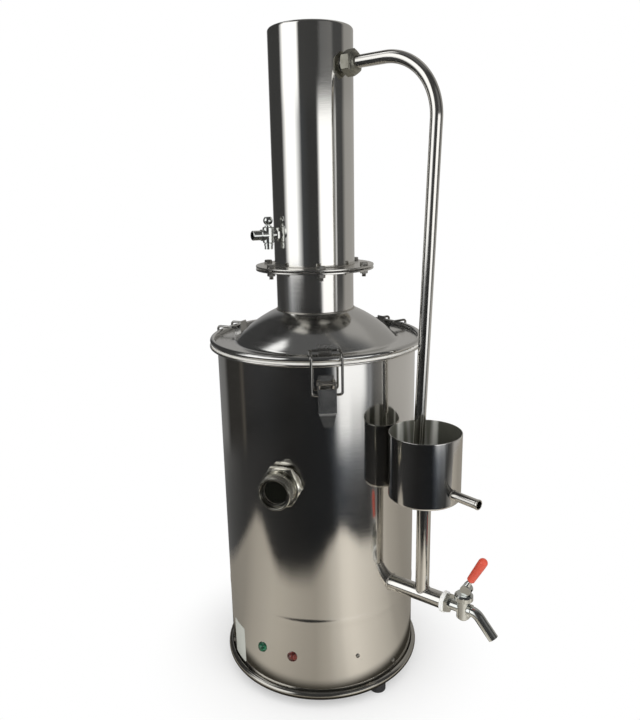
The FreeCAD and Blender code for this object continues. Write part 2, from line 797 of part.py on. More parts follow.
def make_tap_lever():
    """A round cam set off its pin, forked over the stem's tongue, with a rod and a grip."""
    barrel_at, _, pin_level = tap_places()
    pin = V(barrel_at, 0, pin_level)
    rise = math.radians(30)
    half = cam_width / 2
    centre = pin + V(cam_throw * math.cos(rise), -half, cam_throw * math.sin(rise))
    cam = Part.makeCylinder(cam_radius, cam_width, centre, ACROSS)
    lean = math.radians(lever_lean)
    along = V(math.sin(lean), 0, math.cos(lean))
    rod = Part.makeCylinder(lever_rod, grip_end - 3, pin, along)
    rod = rod.cut(Part.makeCylinder(cam_radius - 1.5, 20, V(pin.x, -10, pin.z), ACROSS))
    collar = Part.makeCone(lever_rod + 1.6, lever_rod + 0.3, 6, pin + along * 8.5, along)
    slot = tongue / 2 + 0.2
    fork = Part.makeBox(16, 2 * slot, 16, V(pin.x - 3.1, -slot, pin.z - 12.9))
    fork = fork.fuse(Part.makeCylinder(tongue_reach, 2 * slot, V(pin.x, -slot, pin.z), ACROSS))
    lever = cam.cut(fork).fuse([rod, collar])
    bore = Part.makeCylinder(lever_pin_radius, 20, V(pin.x, -10, pin.z), ACROSS)
    nodes["tap_lever"] = [swung(lever.cut(bore), drain_swing)]
    pin_body = Part.makeCylinder(lever_pin_radius, cam_width, V(pin.x, -half, pin.z), ACROSS)
    nodes["lever_pin"] = [swung(pin_body, drain_swing)]

    # Dipped sleeve, a little fuller towards its round end.
    length = grip_end - grip_start
    full = grip_radius
    sleeve = outline(
        (0, 0),
        (full - 1.2, 0),
        (full - 0.7, 0.8),
        (full, length - full - 4),
        (full, length - full),
        ((full * math.sin(math.pi / 4), length - full + full * math.cos(math.pi / 4)), (0, length)),
    )
    sleeve = lathe_up(sleeve)
    sleeve = sleeve.cut(post(lever_rod, -1, length - 3))
    sleeve.Placement = FreeCAD.Placement(pin + along * grip_start, FreeCAD.Rotation(UP, along))
    nodes["lever_grip"] = [swung(sleeve, drain_swing)]


# ================================================================ lid
def lid_levels():
    """Underside of the lid's brim, foot of the dome and its top at the neck."""
    under = shell_top + flange_thickness + gasket_height
    foot = under + dome_foot_rise
    return under, foot, foot + dome_rise


def dome_line(offset):
    """Points of the lid's upper surface from brim to neck, moved down by an offset: the
    end of the flat brim, halfway up the cove, the dome's foot, its middle and its end."""
    under, foot, crown = lid_levels()
    foot_at = shell_radius - brim_width
    neck = neck_radius + seat_gap
    run = foot_at - neck
    slope = math.hypot(run, dome_rise)
    n_out, n_up = dome_rise / slope, run / slope
    middle = ((foot_at + neck) / 2 + dome_crown * n_out, (foot + crown) / 2 + dome_crown * n_up)
    start = (foot_at - offset * n_out, foot - offset * n_up)
    half = (middle[0] - offset * n_out, middle[1] - offset * n_up)
    end = (neck, crown - offset / n_up)
    brim = (foot_at + cove_run, under + lid_wall - offset)
    rise = dome_foot_rise - lid_wall
    cove = (cove_run * cove_run + rise * rise) / (2 * rise)
    turn = math.asin(cove_run / cove) / 2
    hollow = (brim[0] - (cove + offset) * math.sin(turn), brim[1] + (cove + offset) * (1 - math.cos(turn)))
    return brim, hollow, start, half, end


def make_lid():
    under, _, crown = lid_levels()
    gasket_out = shell_radius + flange_width - 2
    seal = pipe_up(gasket_out, shell_radius - shell_wall, shell_top + flange_thickness, under)
    nodes["lid_gasket"] = [seal]

    brim, hollow, start, half, end = dome_line(0)
    low_brim, low_hollow, low_start, low_half, low_end = dome_line(lid_wall)
    roll_at = shell_radius + flange_width - 0.5 - roll_radius
    sheet = outline(
        (roll_at, under),
        (roll_at, under + lid_wall),
        brim,
        (hollow, start),
        (half, end),
        low_end,
        (low_half, low_start),
        (low_hollow, low_brim),
    )
    roll = Part.makeTorus(roll_at, roll_radius, V(0, 0, under + roll_radius))
    nodes["lid_dome"] = [lathe_up(sheet).fuse(roll)]

    # The neck is a tube with the lower bolted flange welded round its top.
    tube = pipe_up(neck_radius, neck_radius - neck_wall, crown - 6, neck_top + joint_thickness)
    plate = pipe_up(joint_radius, neck_radius - neck_wall, neck_top, neck_top + joint_thickness)
    neck = tube.fuse(plate)
    for hole in ring_of(post(bolt_radius + 0.25, neck_top - 1, neck_top + 9, bolt_circle),
                        bolt_azimuth, bolt_count):
        neck = neck.cut(hole)
    nodes["neck_tube"] = [neck]


def latch_places():
    """Lever pivot, bail pivot and crossbar of a closed latch, in its own plane."""
    pivot = (shell_radius + lever_pivot_out, lever_pivot_level)
    angle = math.radians(latch_crank_angle)
    hook = (pivot[0] + latch_crank * math.sin(angle), pivot[1] - latch_crank * math.cos(angle))
    crossbar = (hook[0] - bail_hook_reach, bail_top_level)
    return pivot, hook, crossbar


def disc_at(place, radius, y0, y1):
    """A short cylinder lying across, at a point of the latch's plane."""
    return Part.makeCylinder(radius, y1 - y0, V(place[0], y0, place[1]), ACROSS)


def make_catches():
    """Pressed hooks on the lid: a seat that rises outwards and a curl behind the crossbar."""
    under = lid_levels()[0]
    crossbar = latch_places()[2]
    slope = math.radians(seat_slope)
    below = bail_wire + saddle_gap
    seat = (crossbar[0] + below * math.sin(slope), crossbar[1] - below * math.cos(slope))
    curl = crossbar[0] - bail_wire - 0.6
    low = seat[1] - (seat[0] - curl) * math.tan(slope)
    outer = crossbar[0] + 5.0
    high = seat[1] + (outer - seat[0]) * math.tan(slope)
    form = slab(outline(
        (curl - 2.2, under),
        (curl - 2.2, low + 8.0),
        ((curl - 1.1, low + 9.1), (curl, low + 8.0)),
        (curl, low),
        (outer - 0.6, high - 0.3),
        ((outer - 0.1, high - 0.5), (outer, high - 1.2)),
        (outer, under),
    ), -catch_half_width, catch_half_width)
    brim, hollow, start, half, end = dome_line(0)
    filled = lathe_up(outline(
        (0, under),
        (shell_radius, under),
        (shell_radius, brim[1]),
        brim,
        (hollow, start),
        (half, end),
        (0, end[1]),
    ))
    catch = form.cut(filled)
    nodes["lid_catches"] = [turned(catch, a) for a in latch_azimuths.values()]


def make_latches():
    pivot, hook, crossbar = latch_places()
    half = lever_half_width
    wall = shell_radius + seat_gap
    front = wall + base_thickness

    # Base: a plate on the shell with two ears and the riveted pin.
    inside = half - lever_sheet - free_gap
    top = pivot[1] + base_rise
    bottom = pivot[1] - base_drop
    base = Part.makeBox(front - shell_radius + 8, 2 * inside, top - bottom,
                        V(shell_radius - 8, -inside, bottom))
    ear = outline(
        (wall, pivot[1] - 8),
        (pivot[0] + 2.0, pivot[1] - 2.4),
        ((pivot[0] + 3.1, pivot[1]), (pivot[0] + 2.0, pivot[1] + 2.4)),
        (wall, pivot[1] + 6),
    )
    for y in (-inside, inside - 1.6):
        base = base.fuse(slab(ear, y, y + 1.6))
    reach = half + 1.0
    base = base.fuse(disc_at(pivot, latch_pin_radius, -reach, reach))
    for rise in (-5, -16):
        rivet = Part.makeCylinder(2.2, 0.9, V(front - 0.1, 0, pivot[1] + rise), OUT)
        base = base.fuse(rivet)
    base = base.cut(filled_shell())
    nodes["latch_bases"] = [turned(base, a) for a in latch_azimuths.values()]

    # Lever: pressed plate with two side cheeks and a finger lip bent outwards.
    plate_in = hook[0] + bail_wire + lever_face_gap
    plate_out = plate_in + lever_sheet
    head = pivot[1] - lever_top_drop
    knee = head - lever_straight
    tip = knee - lip_drop
    sheet = slab(outline(
        (plate_in, head),
        (plate_out, head),
        (plate_out, knee + 0.4),
        (plate_out + lip_out, tip + 0.4),
        (plate_out + lip_out - lever_sheet, tip),
        (plate_in, knee),
    ), -half, half)
    taper = Part.Face(Part.makePolygon([
        V(0, -half, head), V(0, half, head), V(0, half, knee + 2), V(0, half - 4.5, tip + 1.5),
        V(0, half - 6.0, tip), V(0, -half + 6.0, tip), V(0, -half + 4.5, tip + 1.5),
        V(0, -half, knee + 2), V(0, -half, head),
    ])).extrude(V(60, 0, 0))
    taper.translate(V(shell_radius, 0, 0))
    lever = sheet.common(taper)
    boss = latch_boss
    cheek = outline(
        (plate_in + 0.2, head),
        (pivot[0] + 1.6, pivot[1] + boss * 0.8),
        (pivot[0], pivot[1] + boss * 0.8),
        (pivot[0] - boss * 0.8, pivot[1]),
        (pivot[0] - boss * 0.5, pivot[1] - boss * 0.8),
        (hook[0] - boss, hook[1] - 1.0),
        (hook[0] - 1.5, hook[1] - 5.0),
        (plate_in + 0.2, hook[1] - 9),
    )
    for y in (-half, half - lever_sheet):
        side = slab(cheek, y, y + lever_sheet).fuse(disc_at(pivot, boss, y, y + lever_sheet))
        lever = lever.fuse(side)
    for place, radius in ((pivot, latch_pin_radius), (hook, bail_wire)):
        lever = lever.cut(disc_at(place, radius + running_gap, -20, 20))

    # Bail: round wire from one cheek up, over the rim and back to the other.
    w = bail_half_width
    end = half - lever_sheet - 0.8
    knee = crossbar[1]
    path = [
        V(hook[0], -end, hook[1]), V(hook[0], -w, hook[1]), V(hook[0], -w, knee),
        V(crossbar[0], -w, crossbar[1]), V(crossbar[0], w, crossbar[1]), V(hook[0], w, knee),
        V(hook[0], w, hook[1]), V(hook[0], end, hook[1]),
    ]
    bail = swept(path, bail_bend, bail_wire)
    for name, azimuth in latch_azimuths.items():
        nodes[name + "_latch_lever"] = [turned(lever, azimuth)]
        nodes[name + "_latch_bail"] = [turned(bail, azimuth)]


# ================================================================ condenser
def make_joint():
    """Gasket, upper flange, bolts and nuts between neck and condenser."""
    plate = neck_top + joint_thickness
    upper = plate + joint_gasket
    top = upper + joint_thickness
    inside = bolt_circle - bolt_radius - 3.5
    nodes["flange_gasket"] = [pipe_up(inside, neck_radius - neck_wall, plate, upper)]
    ring = pipe_up(joint_radius, tower_radius + seat_gap, upper, top)
    for hole in ring_of(post(bolt_radius + 0.25, upper - 1, top + 1, bolt_circle),
                        bolt_azimuth, bolt_count):
        ring = ring.cut(hole)
    nodes["condenser_flange"] = [ring]
    head = hexagon(bolt_flats, 3.5, V(bolt_circle, 0, top))
    head = head.common(lathe_head(top))
    bolt = head.fuse(post(bolt_radius, neck_top - 7.5, top, bolt_circle))
    nodes["flange_bolts"] = ring_of(bolt, bolt_azimuth, bolt_count)
    nut = hexagon(bolt_flats, 4, V(bolt_circle, 0, neck_top - 4))
    nut = nut.cut(post(bolt_radius + seat_gap, neck_top - 10, top, bolt_circle))
    nodes["flange_nuts"] = ring_of(nut, bolt_azimuth, bolt_count)


def lathe_head(top):
    """The chamfered envelope of a bolt head."""
    corner = bolt_flats / 2 / math.cos(math.pi / 6)
    form = lathe_up(outline(
        (0, top),
        (corner, top),
        (corner, top + 2.7),
        (bolt_flats / 2 - 0.4, top + 3.5),
        (0, top + 3.5),
    ))
    form.translate(V(bolt_circle, 0, 0))
    return form


def make_condenser():
    base = neck_top + joint_thickness + joint_gasket
    inner = tower_radius - tower_wall

    def wall_hole(radius, azimuth, z):
        return turned(bar(radius, inner - 5, tower_radius + 5, z), azimuth)

    shell = pipe_up(tower_radius, inner, base, tower_top)
    shell = shell.cut(wall_hole(stub_radius + seat_gap, return_azimuth, return_level))
    shell = shell.cut(wall_hole(outlet_radius - spigot_step + seat_gap, outlet_azimuth, outlet_level))
    shell = shell.cut(wall_hole(cock_shank + seat_gap, cock_azimuth, cock_level))
    nodes["condenser_shell"] = [shell]

    # A pressed cap with a turned-down rim and a shallow crown.
    r = tower_radius
    t = tower_wall
    knee = cap_knee
    brow = tower_top + cap_rise - cap_crown
    half = brow + halfway_up(r - knee, cap_crown)
    bow = knee * (1 - math.sqrt(0.5))
    thin = (knee - t) * (1 - math.sqrt(0.5))
    nodes["condenser_cap"] = [lathe_up(outline(
        (r - t, tower_top),
        (r, tower_top),
        (r, brow - knee),
        ((r - bow, brow - bow), (r - knee, brow)),
        (((r - knee) / 2, half), (0, brow + cap_crown)),
        (0, brow + cap_crown - t),
        (((r - knee) / 2, half - t), (r - knee, brow - t)),
        ((r - t - thin, brow - t - thin), (r - t, brow - knee)),
    ))]

    # Steam climbs the riser, turns in the top space and condenses down the tubes.
    rim = inner - seat_gap
    core = post(rim, base + joint_thickness, base + joint_thickness + plate_thickness)
    core = core.fuse(post(rim, lower_plate, lower_plate + plate_thickness))
    core = core.fuse(post(rim, upper_plate, upper_plate + plate_thickness))
    core = core.fuse(post(riser_radius, base + joint_thickness, upper_plate + 8))
    tubes = ring_of(post(tube_radius, lower_plate, upper_plate + plate_thickness, tube_circle), 0, tube_count)
    core = core.fuse(tubes)
    core = core.cut(post(riser_radius - 1, base, upper_plate + 9))
    for hole in ring_of(post(tube_radius - tube_wall, lower_plate - 1, upper_plate + 9, tube_circle),
                        0, tube_count):
        core = core.cut(hole)
    nodes["condenser_core"] = [core]

    tip = tower_radius + outlet_reach
    outlet = bar(outlet_radius - spigot_step, inner - 1.5, tower_radius + 1, outlet_level)
    outlet = outlet.fuse(bar(outlet_radius, tower_radius + spigot_show, tip, outlet_level))
    outlet = outlet.cut(bar(outlet_radius - 1, inner - 3, tip + 1, outlet_level))
    nodes["tower_stubs"] = [turned(outlet, outlet_azimuth)]


def return_turn():
    """Corner point of the return pipe's bend and its end, in the pipe's own plane."""
    lean = math.radians(return_lean)
    end = V(cup_at - return_inset, 0, cup_bottom + cup_height - return_dip)
    corner = V(end.x + (return_level - end.z) * math.tan(lean), 0, return_level)
    return corner, end


def make_return():
    corner, end = return_turn()
    collar_at = tower_radius + stub_reach + 0.3
    start = V(collar_at, 0, return_level)
    way = [start, corner, end]
    beyond = [start - OUT, corner, end + (end - corner).normalize()]
    pipe = swept(way, return_bend, return_radius)
    collar = bar(stub_radius - 0.3, collar_at, collar_at + 2.0, return_level)
    pipe = pipe.fuse(collar).cut(swept(beyond, return_bend, return_radius - return_wall))
    nodes["return_pipe"] = [turned(pipe, return_azimuth)]

    inner = tower_radius - tower_wall
    stub = bar(stub_radius, inner - 1, tower_radius + stub_reach, return_level)
    stub = stub.cut(bar(return_radius - return_wall, inner - 5, tower_radius + 20, return_level))
    nodes["tower_stubs"] += [turned(stub, return_azimuth)]

    near = tower_radius + union_from
    far = near + union_length
    hexes = hexagon(union_flats, union_length, V(near, 0, return_level), OUT)
    round_off = lathe_out(outline(
        (near, 0),
        (near, union_flats / 2 + 0.6),
        (near + 1.5, union_flats / 2 + 2.4),
        (far - 4.5, union_flats / 2 + 2.4),
        (far - 3.0, union_flats / 2 - 1.0),
        ((far - 1.0, union_flats / 2 - 2.4), (far, return_radius + 1.5)),
        (far, 0),
    ), return_level)
    hollow = lathe_out(outline(
        (near - 1, 0),
        (near - 1, stub_radius + seat_gap),
        (collar_at + 2.2, stub_radius + seat_gap),
        (collar_at + 2.2, return_radius + seat_gap),
        (far + 1, return_radius + seat_gap),
        (far + 1, 0),
    ), return_level)
    nodes["union_nut"] = [turned(hexes.common(round_off).cut(hollow), return_azimuth)]


def make_cock():
    """Plug cock for the cooling water, with its hose nozzle pointing out."""
    inner = tower_radius - tower_wall
    axis = tower_radius + cock_offset
    low = cock_level - cock_half_height
    high = cock_level + cock_half_height
    barrel = lathe_up(outline(
        (0, low),
        (cock_barrel - 0.8, low),
        (cock_barrel, low + 0.8),
        (cock_barrel, high - 0.8),
        (cock_barrel - 0.8, high),
        (0, high),
    ))
    barrel.translate(V(axis, 0, 0))
    shank = bar(cock_shank, inner - 1, axis, cock_level)
    collar = hexagon(13, 2.5, V(tower_radius + seat_gap, 0, cock_level), OUT)
    collar = collar.cut(post(tower_radius + seat_gap, 0, 900))
    hose = lathe_out(outline(
        (axis, 0),
        (axis, hose_radius + 0.9),
        (axis + cock_barrel + 2.5, hose_radius + 0.9),
        (axis + cock_barrel + 3.0, hose_radius),
        (axis + hose_reach - 0.6, hose_radius),
        (axis + hose_reach, hose_radius - 0.6),
        (axis + hose_reach, 0),
    ), cock_level)
    body = barrel.fuse([shank, collar, hose])
    body = body.cut(bar(cock_bore, inner - 5, axis + hose_reach + 1, cock_level))
    body = body.cut(bar(hose_radius - 1.2, axis + cock_barrel + 4, axis + hose_reach + 1, cock_level))
    body = body.cut(post(plug_radius + running_gap, low - 1, high + 1, axis))
    nodes["cock_body"] = [turned(body, cock_azimuth)]

    stem = 2.2
    plug = post(plug_radius, low - 0.6, high + 1.5, axis)
    plug = plug.fuse(post(stem, low - 7, knob_level + 2, axis))
    plug = plug.cut(bar(cock_bore, axis - 10, axis + 10, cock_level))
    nodes["cock_plug"] = [turned(plug, cock_azimuth)]

    # A ball with a small flat above and below.
    flat = knob_radius * 0.62
    cut_off = math.sqrt(knob_radius * knob_radius - flat * flat)
    knob = lathe_up(outline(
        (stem, knob_level - cut_off),
        (flat, knob_level - cut_off),
        ((knob_radius, knob_level), (flat, knob_level + cut_off)),
        (0, knob_level + cut_off),
        (0, knob_level + 2),
        (stem, knob_level + 2),
    ))
    knob.translate(V(axis, 0, 0))
    nodes["cock_knob"] = [turned(knob, cock_azimuth)]
    nut = pipe_up(cock_nut_radius, stem, low - 7, low - 2.8, axis)
    washer = pipe_up(plug_radius + 1.2, stem, low - 2.8, low - 0.6, axis)
    nodes["cock_nut"] = [turned(nut.fuse(washer), cock_azimuth)]


# ================================================================ build and write
make_base()
make_boiler()
make_heater()
make_wiring()
make_lamps()
make_sight_window()
make_feed()
make_tap()
make_tap_lever()
make_lid()
make_catches()
make_latches()
make_joint()
make_condenser()
make_return()
make_cock()

os.makedirs("parts", exist_ok=True)
for name, solids in nodes.items():
    pieces = [solid for shape in solids for solid in shape.Solids]
    body = pieces[0] if len(pieces) == 1 else Part.makeCompound(pieces)
    body.exportStep("parts/" + name + ".step")
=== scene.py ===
import json
import math
import bmesh
import bpy
import numpy as np
from mathutils import Matrix

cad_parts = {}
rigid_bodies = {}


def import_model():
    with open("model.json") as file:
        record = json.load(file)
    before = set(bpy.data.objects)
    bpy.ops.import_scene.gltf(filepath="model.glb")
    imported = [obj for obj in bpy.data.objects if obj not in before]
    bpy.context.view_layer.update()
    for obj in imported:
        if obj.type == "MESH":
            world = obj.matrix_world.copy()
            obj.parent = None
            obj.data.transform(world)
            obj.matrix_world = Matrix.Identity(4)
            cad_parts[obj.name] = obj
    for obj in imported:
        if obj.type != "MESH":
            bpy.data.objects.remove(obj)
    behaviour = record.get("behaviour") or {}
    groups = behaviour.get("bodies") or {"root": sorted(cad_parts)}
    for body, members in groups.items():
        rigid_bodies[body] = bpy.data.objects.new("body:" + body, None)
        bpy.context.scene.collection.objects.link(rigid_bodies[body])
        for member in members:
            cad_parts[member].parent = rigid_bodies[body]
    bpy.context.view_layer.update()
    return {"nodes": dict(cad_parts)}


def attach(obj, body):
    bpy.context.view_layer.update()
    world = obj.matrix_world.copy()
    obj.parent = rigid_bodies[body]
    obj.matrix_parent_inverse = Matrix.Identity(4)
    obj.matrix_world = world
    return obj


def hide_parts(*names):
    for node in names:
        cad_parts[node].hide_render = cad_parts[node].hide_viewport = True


# Electric water distiller in polished stainless steel. Sizes are in millimetres, Z is the
# boiler's axis, and azimuths are in degrees from the front (-Y) towards the right (+X).
for leftover in list(bpy.data.objects):
    bpy.data.objects.remove(leftover)
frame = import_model()
node = frame["nodes"]


# -------------------- camera
# The camera stands 0.8 m in front of the boiler, as high as the lower part of the
# condenser, and looks down by 14 degrees, with the slight turn and tilt of a hand-held one.
camera_place = (0.0, -0.8050, 0.6019)
camera_pitch = math.radians(14.01)
camera_yaw = math.radians(0.29)
camera_roll = math.radians(-1.106)
frame_height = 720
focal_pixels = 671.4
sensor = 36.0

camera = bpy.data.objects.new("camera", bpy.data.cameras.new("camera"))
bpy.context.scene.collection.objects.link(camera)
camera.data.sensor_width = sensor
camera.data.lens = focal_pixels * sensor / frame_height
camera.matrix_world = (
    Matrix.Translation(camera_place)
    @ Matrix.Rotation(-camera_yaw, 4, "Z")
    @ Matrix.Rotation(math.pi / 2 - camera_pitch, 4, "X")
    @ Matrix.Rotation(camera_roll, 4, "Z")
)
bpy.context.scene.camera = camera


# -------------------- workshop light
# Polished steel shows the room: a tall window on each side of the camera, dark walls
# between and behind them, a pale wall on the right and a dim ceiling. Only mirror rays
# see it. Everything else is lit by a soft even light and one lamp.
def fill(made, inputs):
    """Give a node its inputs, by name or number: a socket is linked, a value is set."""
    for place, value in inputs.items():
        if isinstance(value, bpy.types.NodeSocket):
            made.id_data.links.new(value, made.inputs[place])
        else:
            made.inputs[place].default_value = value


def added(beside, kind, inputs=(), **settings):
    """A new shader node of a kind, in the node tree beside a socket, with its settings
    and then its inputs."""
    made = beside.id_data.nodes.new("ShaderNode" + kind)
    for setting, value in settings.items():
        setattr(made, setting, value)
    fill(made, dict(inputs))
    return made


def calculate(operation, first, second=0.0, third=0.0):
    """One Math node; each input is a number or a socket."""
    return added(first, "Math", {0: first, 1: second, 2: third}, operation=operation).outputs[0]


def from_centre(x, y):
    """The square root of x squared plus y squared."""
    squares = calculate("MULTIPLY_ADD", x, x, calculate("MULTIPLY", y, y))
    return calculate("POWER", squares, 0.5)


def blend_between(value, low, high):
    """0 below low, 1 above high, with a smooth step in between."""
    inputs = {"Value": value, "From Min": low, "From Max": high}
    return added(value, "MapRange", inputs, interpolation_type="SMOOTHSTEP").outputs[0]


def spread(value, low, high):
    """A value from 0 to 1 carried to low to high."""
    return calculate("MULTIPLY_ADD", value, high - low, low)


def opaque(colour):
    """Three channels with full alpha; a socket stays as it is."""
    return colour + (1,) if isinstance(colour, tuple) else colour


def mixed_colour(factor, first, second):
    """Colour that goes from the first to the second as the factor goes from 0 to 1."""
    inputs = {0: factor, 6: opaque(first), 7: opaque(second)}
    return added(factor, "Mix", inputs, data_type="RGBA").outputs[2]


def colour_ramp(factor, stops):
    """Colours joined by straight lines between stops, each (place from 0 to 1, colour)."""
    made = added(factor, "ValToRGB", {0: factor})
    while len(made.color_ramp.elements) < len(stops):
        made.color_ramp.elements.new(0.5)
    for element, (place, colour) in zip(made.color_ramp.elements, stops):
        element.position = place
        element.color = opaque(colour)
    return made.outputs[0]


def tinted(light, warmth=0.0):
    """A grey of a brightness, with more red and less blue as its warmth grows."""
    return light * (1 + warmth), light, light * (1 - 1.6 * warmth)


def round_the_room(bearing, stops):
    """Colours by azimuth: each stop is (degrees, brightness) or (degrees, brightness, warmth)."""
    return colour_ramp(bearing, [(degrees / 360 + 0.5, tinted(*tint)) for degrees, *tint in stops])


def bearing_of(x, y):
    """Azimuth of a direction as 0 to 1, with the front at 0.5 and the back at both ends."""
    angle = calculate("ARCTAN2", x, calculate("MULTIPLY", y, -1.0))
    return calculate("MULTIPLY_ADD", angle, 0.5 / math.pi, 0.5)


def axes(coordinates):
    """The X, Y and Z of coordinates."""
    return tuple(added(coordinates, "SeparateXYZ", {0: coordinates}).outputs)


# The room in rings, from the ceiling down. Their names say how high they lie as seen from
# the distiller, and the lists that two rings share come before them.
window, pale_wall, low_wall, dark_wall = 1.5, 0.42, 0.46, 0.042
wall_behind = [(-180, pale_wall, 0.03), (-164, 0.3), (-154, 0.05)]
right_side = [(57, window), (61, 0.1), (66, 0.9), (69, 0.08), (88, 0.07), (102, 0.38, 0.03),
              (140, 0.4, 0.03), (180, pale_wall, 0.03)]
far_left_below = [(-180, low_wall, 0.03), (-165, 0.2), (-134, 0.18), (-124, 0.03, 0.05), (-98, 0.03, 0.05),
                  (-94, 0.09, 0.1)]
overhead = [(-180, 0.12), (180, 0.12)]
at_ceiling = [(-180, 0.3, 0.03), (-150, 0.05), (-125, 0.03), (-110, 0.04), (-106, window), (-92, window),
              (-88, 0.06), (30, 0.05), (80, 0.06), (105, 0.16), (122, pale_wall, 0.03), (150, 0.45, 0.03),
              (180, 0.3, 0.03)]
over_eye = wall_behind + [(-91, 0.05), (-79, window), (-38, window), (-31, 0.06), (18, 0.05), (28, 0.15),
                          (56, 0.18, 0.01), (64, 0.07), (90, 0.07), (102, 0.32, 0.03), (140, 0.34, 0.03),
                          (180, pale_wall, 0.03)]
eye_level = wall_behind + [(-90, 0.05), (-75, window), (-48, window, -0.01), (-30, 0.07, -0.05),
                           (-10, 0.042), (12, dark_wall), (20, window)] + right_side
window_sill = wall_behind + [(-108, 0.05), (-90, 0.1, -0.02), (-73, 0.46, -0.03), (-56, 0.22, -0.02),
                             (-42, 0.06), (-30, 0.045), (17, dark_wall), (25, window)] + right_side
below_eye = far_left_below + [(-90, 0.03), (-60, 0.03, -0.04), (-30, 0.016), (10, 0.012, -0.1),
                              (17, 0.04, -0.1), (24, 1.35, -0.01), (53, 1.35, -0.01), (59, 0.16, -0.05),
                              (61, 0.4, -0.03), (65, 0.12), (78, 0.22, 0.03), (90, low_wall, 0.03),
                              (140, 0.52, 0.03), (180, low_wall, 0.03)]
low_down = far_left_below + [(-90, 0.02), (-60, 0.02, -0.04), (-30, 0.012), (8, 0.012, -0.1),
                             (18, 0.05, -0.1), (26, 1.15, -0.01), (34, 1.2, -0.01), (40, 0.86, -0.01),
                             (49, 0.78, -0.01), (56, 0.16, -0.05), (61, 0.3, -0.03), (65, 0.06),
                             (78, 0.1, 0.03), (90, 0.42, 0.03), (140, 0.5, 0.03), (180, low_wall, 0.03)]
knee_high = [(-180, low_wall, 0.03), (-165, 0.16), (-100, 0.04), (-30, 0.012), (12, 0.012, -0.1),
             (24, 0.08, -0.12), (32, 0.2, -0.08), (42, 0.18, -0.06), (53, 0.19, -0.04), (59, 0.06),
             (65, 0.04), (78, 0.1, 0.03), (92, 0.42, 0.03), (180, low_wall, 0.03)]
near_floor = [(-180, low_wall, 0.03), (-165, 0.12), (-100, 0.04), (-30, 0.012), (14, 0.012, -0.1),
              (26, 0.045, -0.12), (36, 0.05, -0.06), (50, 0.05), (60, 0.045), (78, 0.3, 0.03),
              (100, low_wall, 0.03), (180, low_wall, 0.03)]
# Each ring takes over from the one under it between two rises, which are sines of the
# elevation; the lowest ring is near_floor.
rises = (
    (knee_high, -0.43, -0.37), (low_down, -0.375, -0.335), (below_eye, -0.33, -0.27),
    (window_sill, -0.24, -0.14), (eye_level, -0.125, -0.095), (over_eye, 0.1, 0.15),
    (at_ceiling, 0.6, 0.72), (overhead, 0.88, 0.93),
)
white_light, front_light, back_light = (1.0,) * 3, (1.35,) * 3, (0.35,) * 3

world = bpy.data.worlds.new("workshop")
bpy.context.scene.world = world
world.use_nodes = True
sky = world.node_tree
sky.nodes.clear()
across, away, rise = axes(added(sky, "TexCoord").outputs["Generated"])
sky_bearing = bearing_of(across, away)
room = round_the_room(sky_bearing, near_floor)
for ring, low, high in rises:
    above = round_the_room(sky_bearing, ring)
    room = mixed_colour(blend_between(rise, low, high), room, above)
seen_by = added(sky, "LightPath").outputs
soft_light = mixed_colour(blend_between(away, -0.4, 0.5), front_light, back_light)
plain = mixed_colour(seen_by["Is Diffuse Ray"], white_light, soft_light)
glow = added(sky, "Background", {"Color": mixed_colour(seen_by["Is Glossy Ray"], plain, room)})
added(sky, "OutputWorld", {"Surface": glow.outputs[0]})

# A wide soft lamp over the camera's right shoulder gives form to rubber and plastic.
lamp = bpy.data.objects.new("soft lamp", bpy.data.lights.new("soft lamp", "AREA"))
bpy.context.scene.collection.objects.link(lamp)
lamp.data.shape = "DISK"
lamp.data.size = 1.6
lamp.data.energy = 9.0
lamp.matrix_world = (
    Matrix.Translation((1.1, -1.3, 1.7))
    @ Matrix.Rotation(math.radians(40), 4, "Z")
    @ Matrix.Rotation(math.radians(50), 4, "X")
)
lamp.visible_glossy = False
bpy.context.scene.view_settings.view_transform = "Standard"


# -------------------- floor
# A pale floor, white but for the distiller's soft shadow. In the steel it is a beige
# patch with a painted contact shadow, dark between the feet, whose edge comes nearest
# in front. Reaches are distances from the boiler's axis in metres.
floor_half = 6.0
painted_contact_shadow_reach, shadow_reach = (0.148, 0.168), (0.1, 0.24)
patch_edge = [(-180, 0.98), (-166, 0.3), (-150, 0.26), (-118, 0.33), (-105, 0.376), (-93, 0.437),
              (-83, 0.494), (-73, 0.56), (-65, 0.54), (-57, 0.468), (-50, 0.42), (-43, 0.394), (-30, 0.383),
              (-11, 0.392), (1, 0.431), (7, 0.468), (14, 0.50), (21, 0.545), (27, 0.54), (33, 0.514),
              (42, 0.486), (56, 0.48), (68, 0.6), (80, 0.98), (180, 0.98)]
patch_tone = [(-180, 0.32, 0.08), (-120, 0.32, 0.08), (-88, 0.34, 0.08), (-72, 0.44, 0.08),
              (-51, 0.52, 0.08), (-39, 0.5, 0.085), (-17, 0.4, 0.085), (-6, 0.37, 0.085), (5, 0.47, 0.08),
              (10, 0.57, 0.07), (16, 0.67, 0.068), (21, 0.8, 0.066), (27, 0.85, 0.066), (32, 0.84, 0.066),
              (44, 0.74, 0.068), (56, 0.65, 0.07), (70, 0.54, 0.072), (77, 0.44, 0.075), (100, 0.34, 0.08),
              (180, 0.32, 0.08)]


def mixed_shader(factor, first, second):
    """A shader that goes from the first to the second as the factor goes from 0 to 1."""
    return added(factor, "MixShader", {0: factor, 1: first, 2: second}).outputs[0]


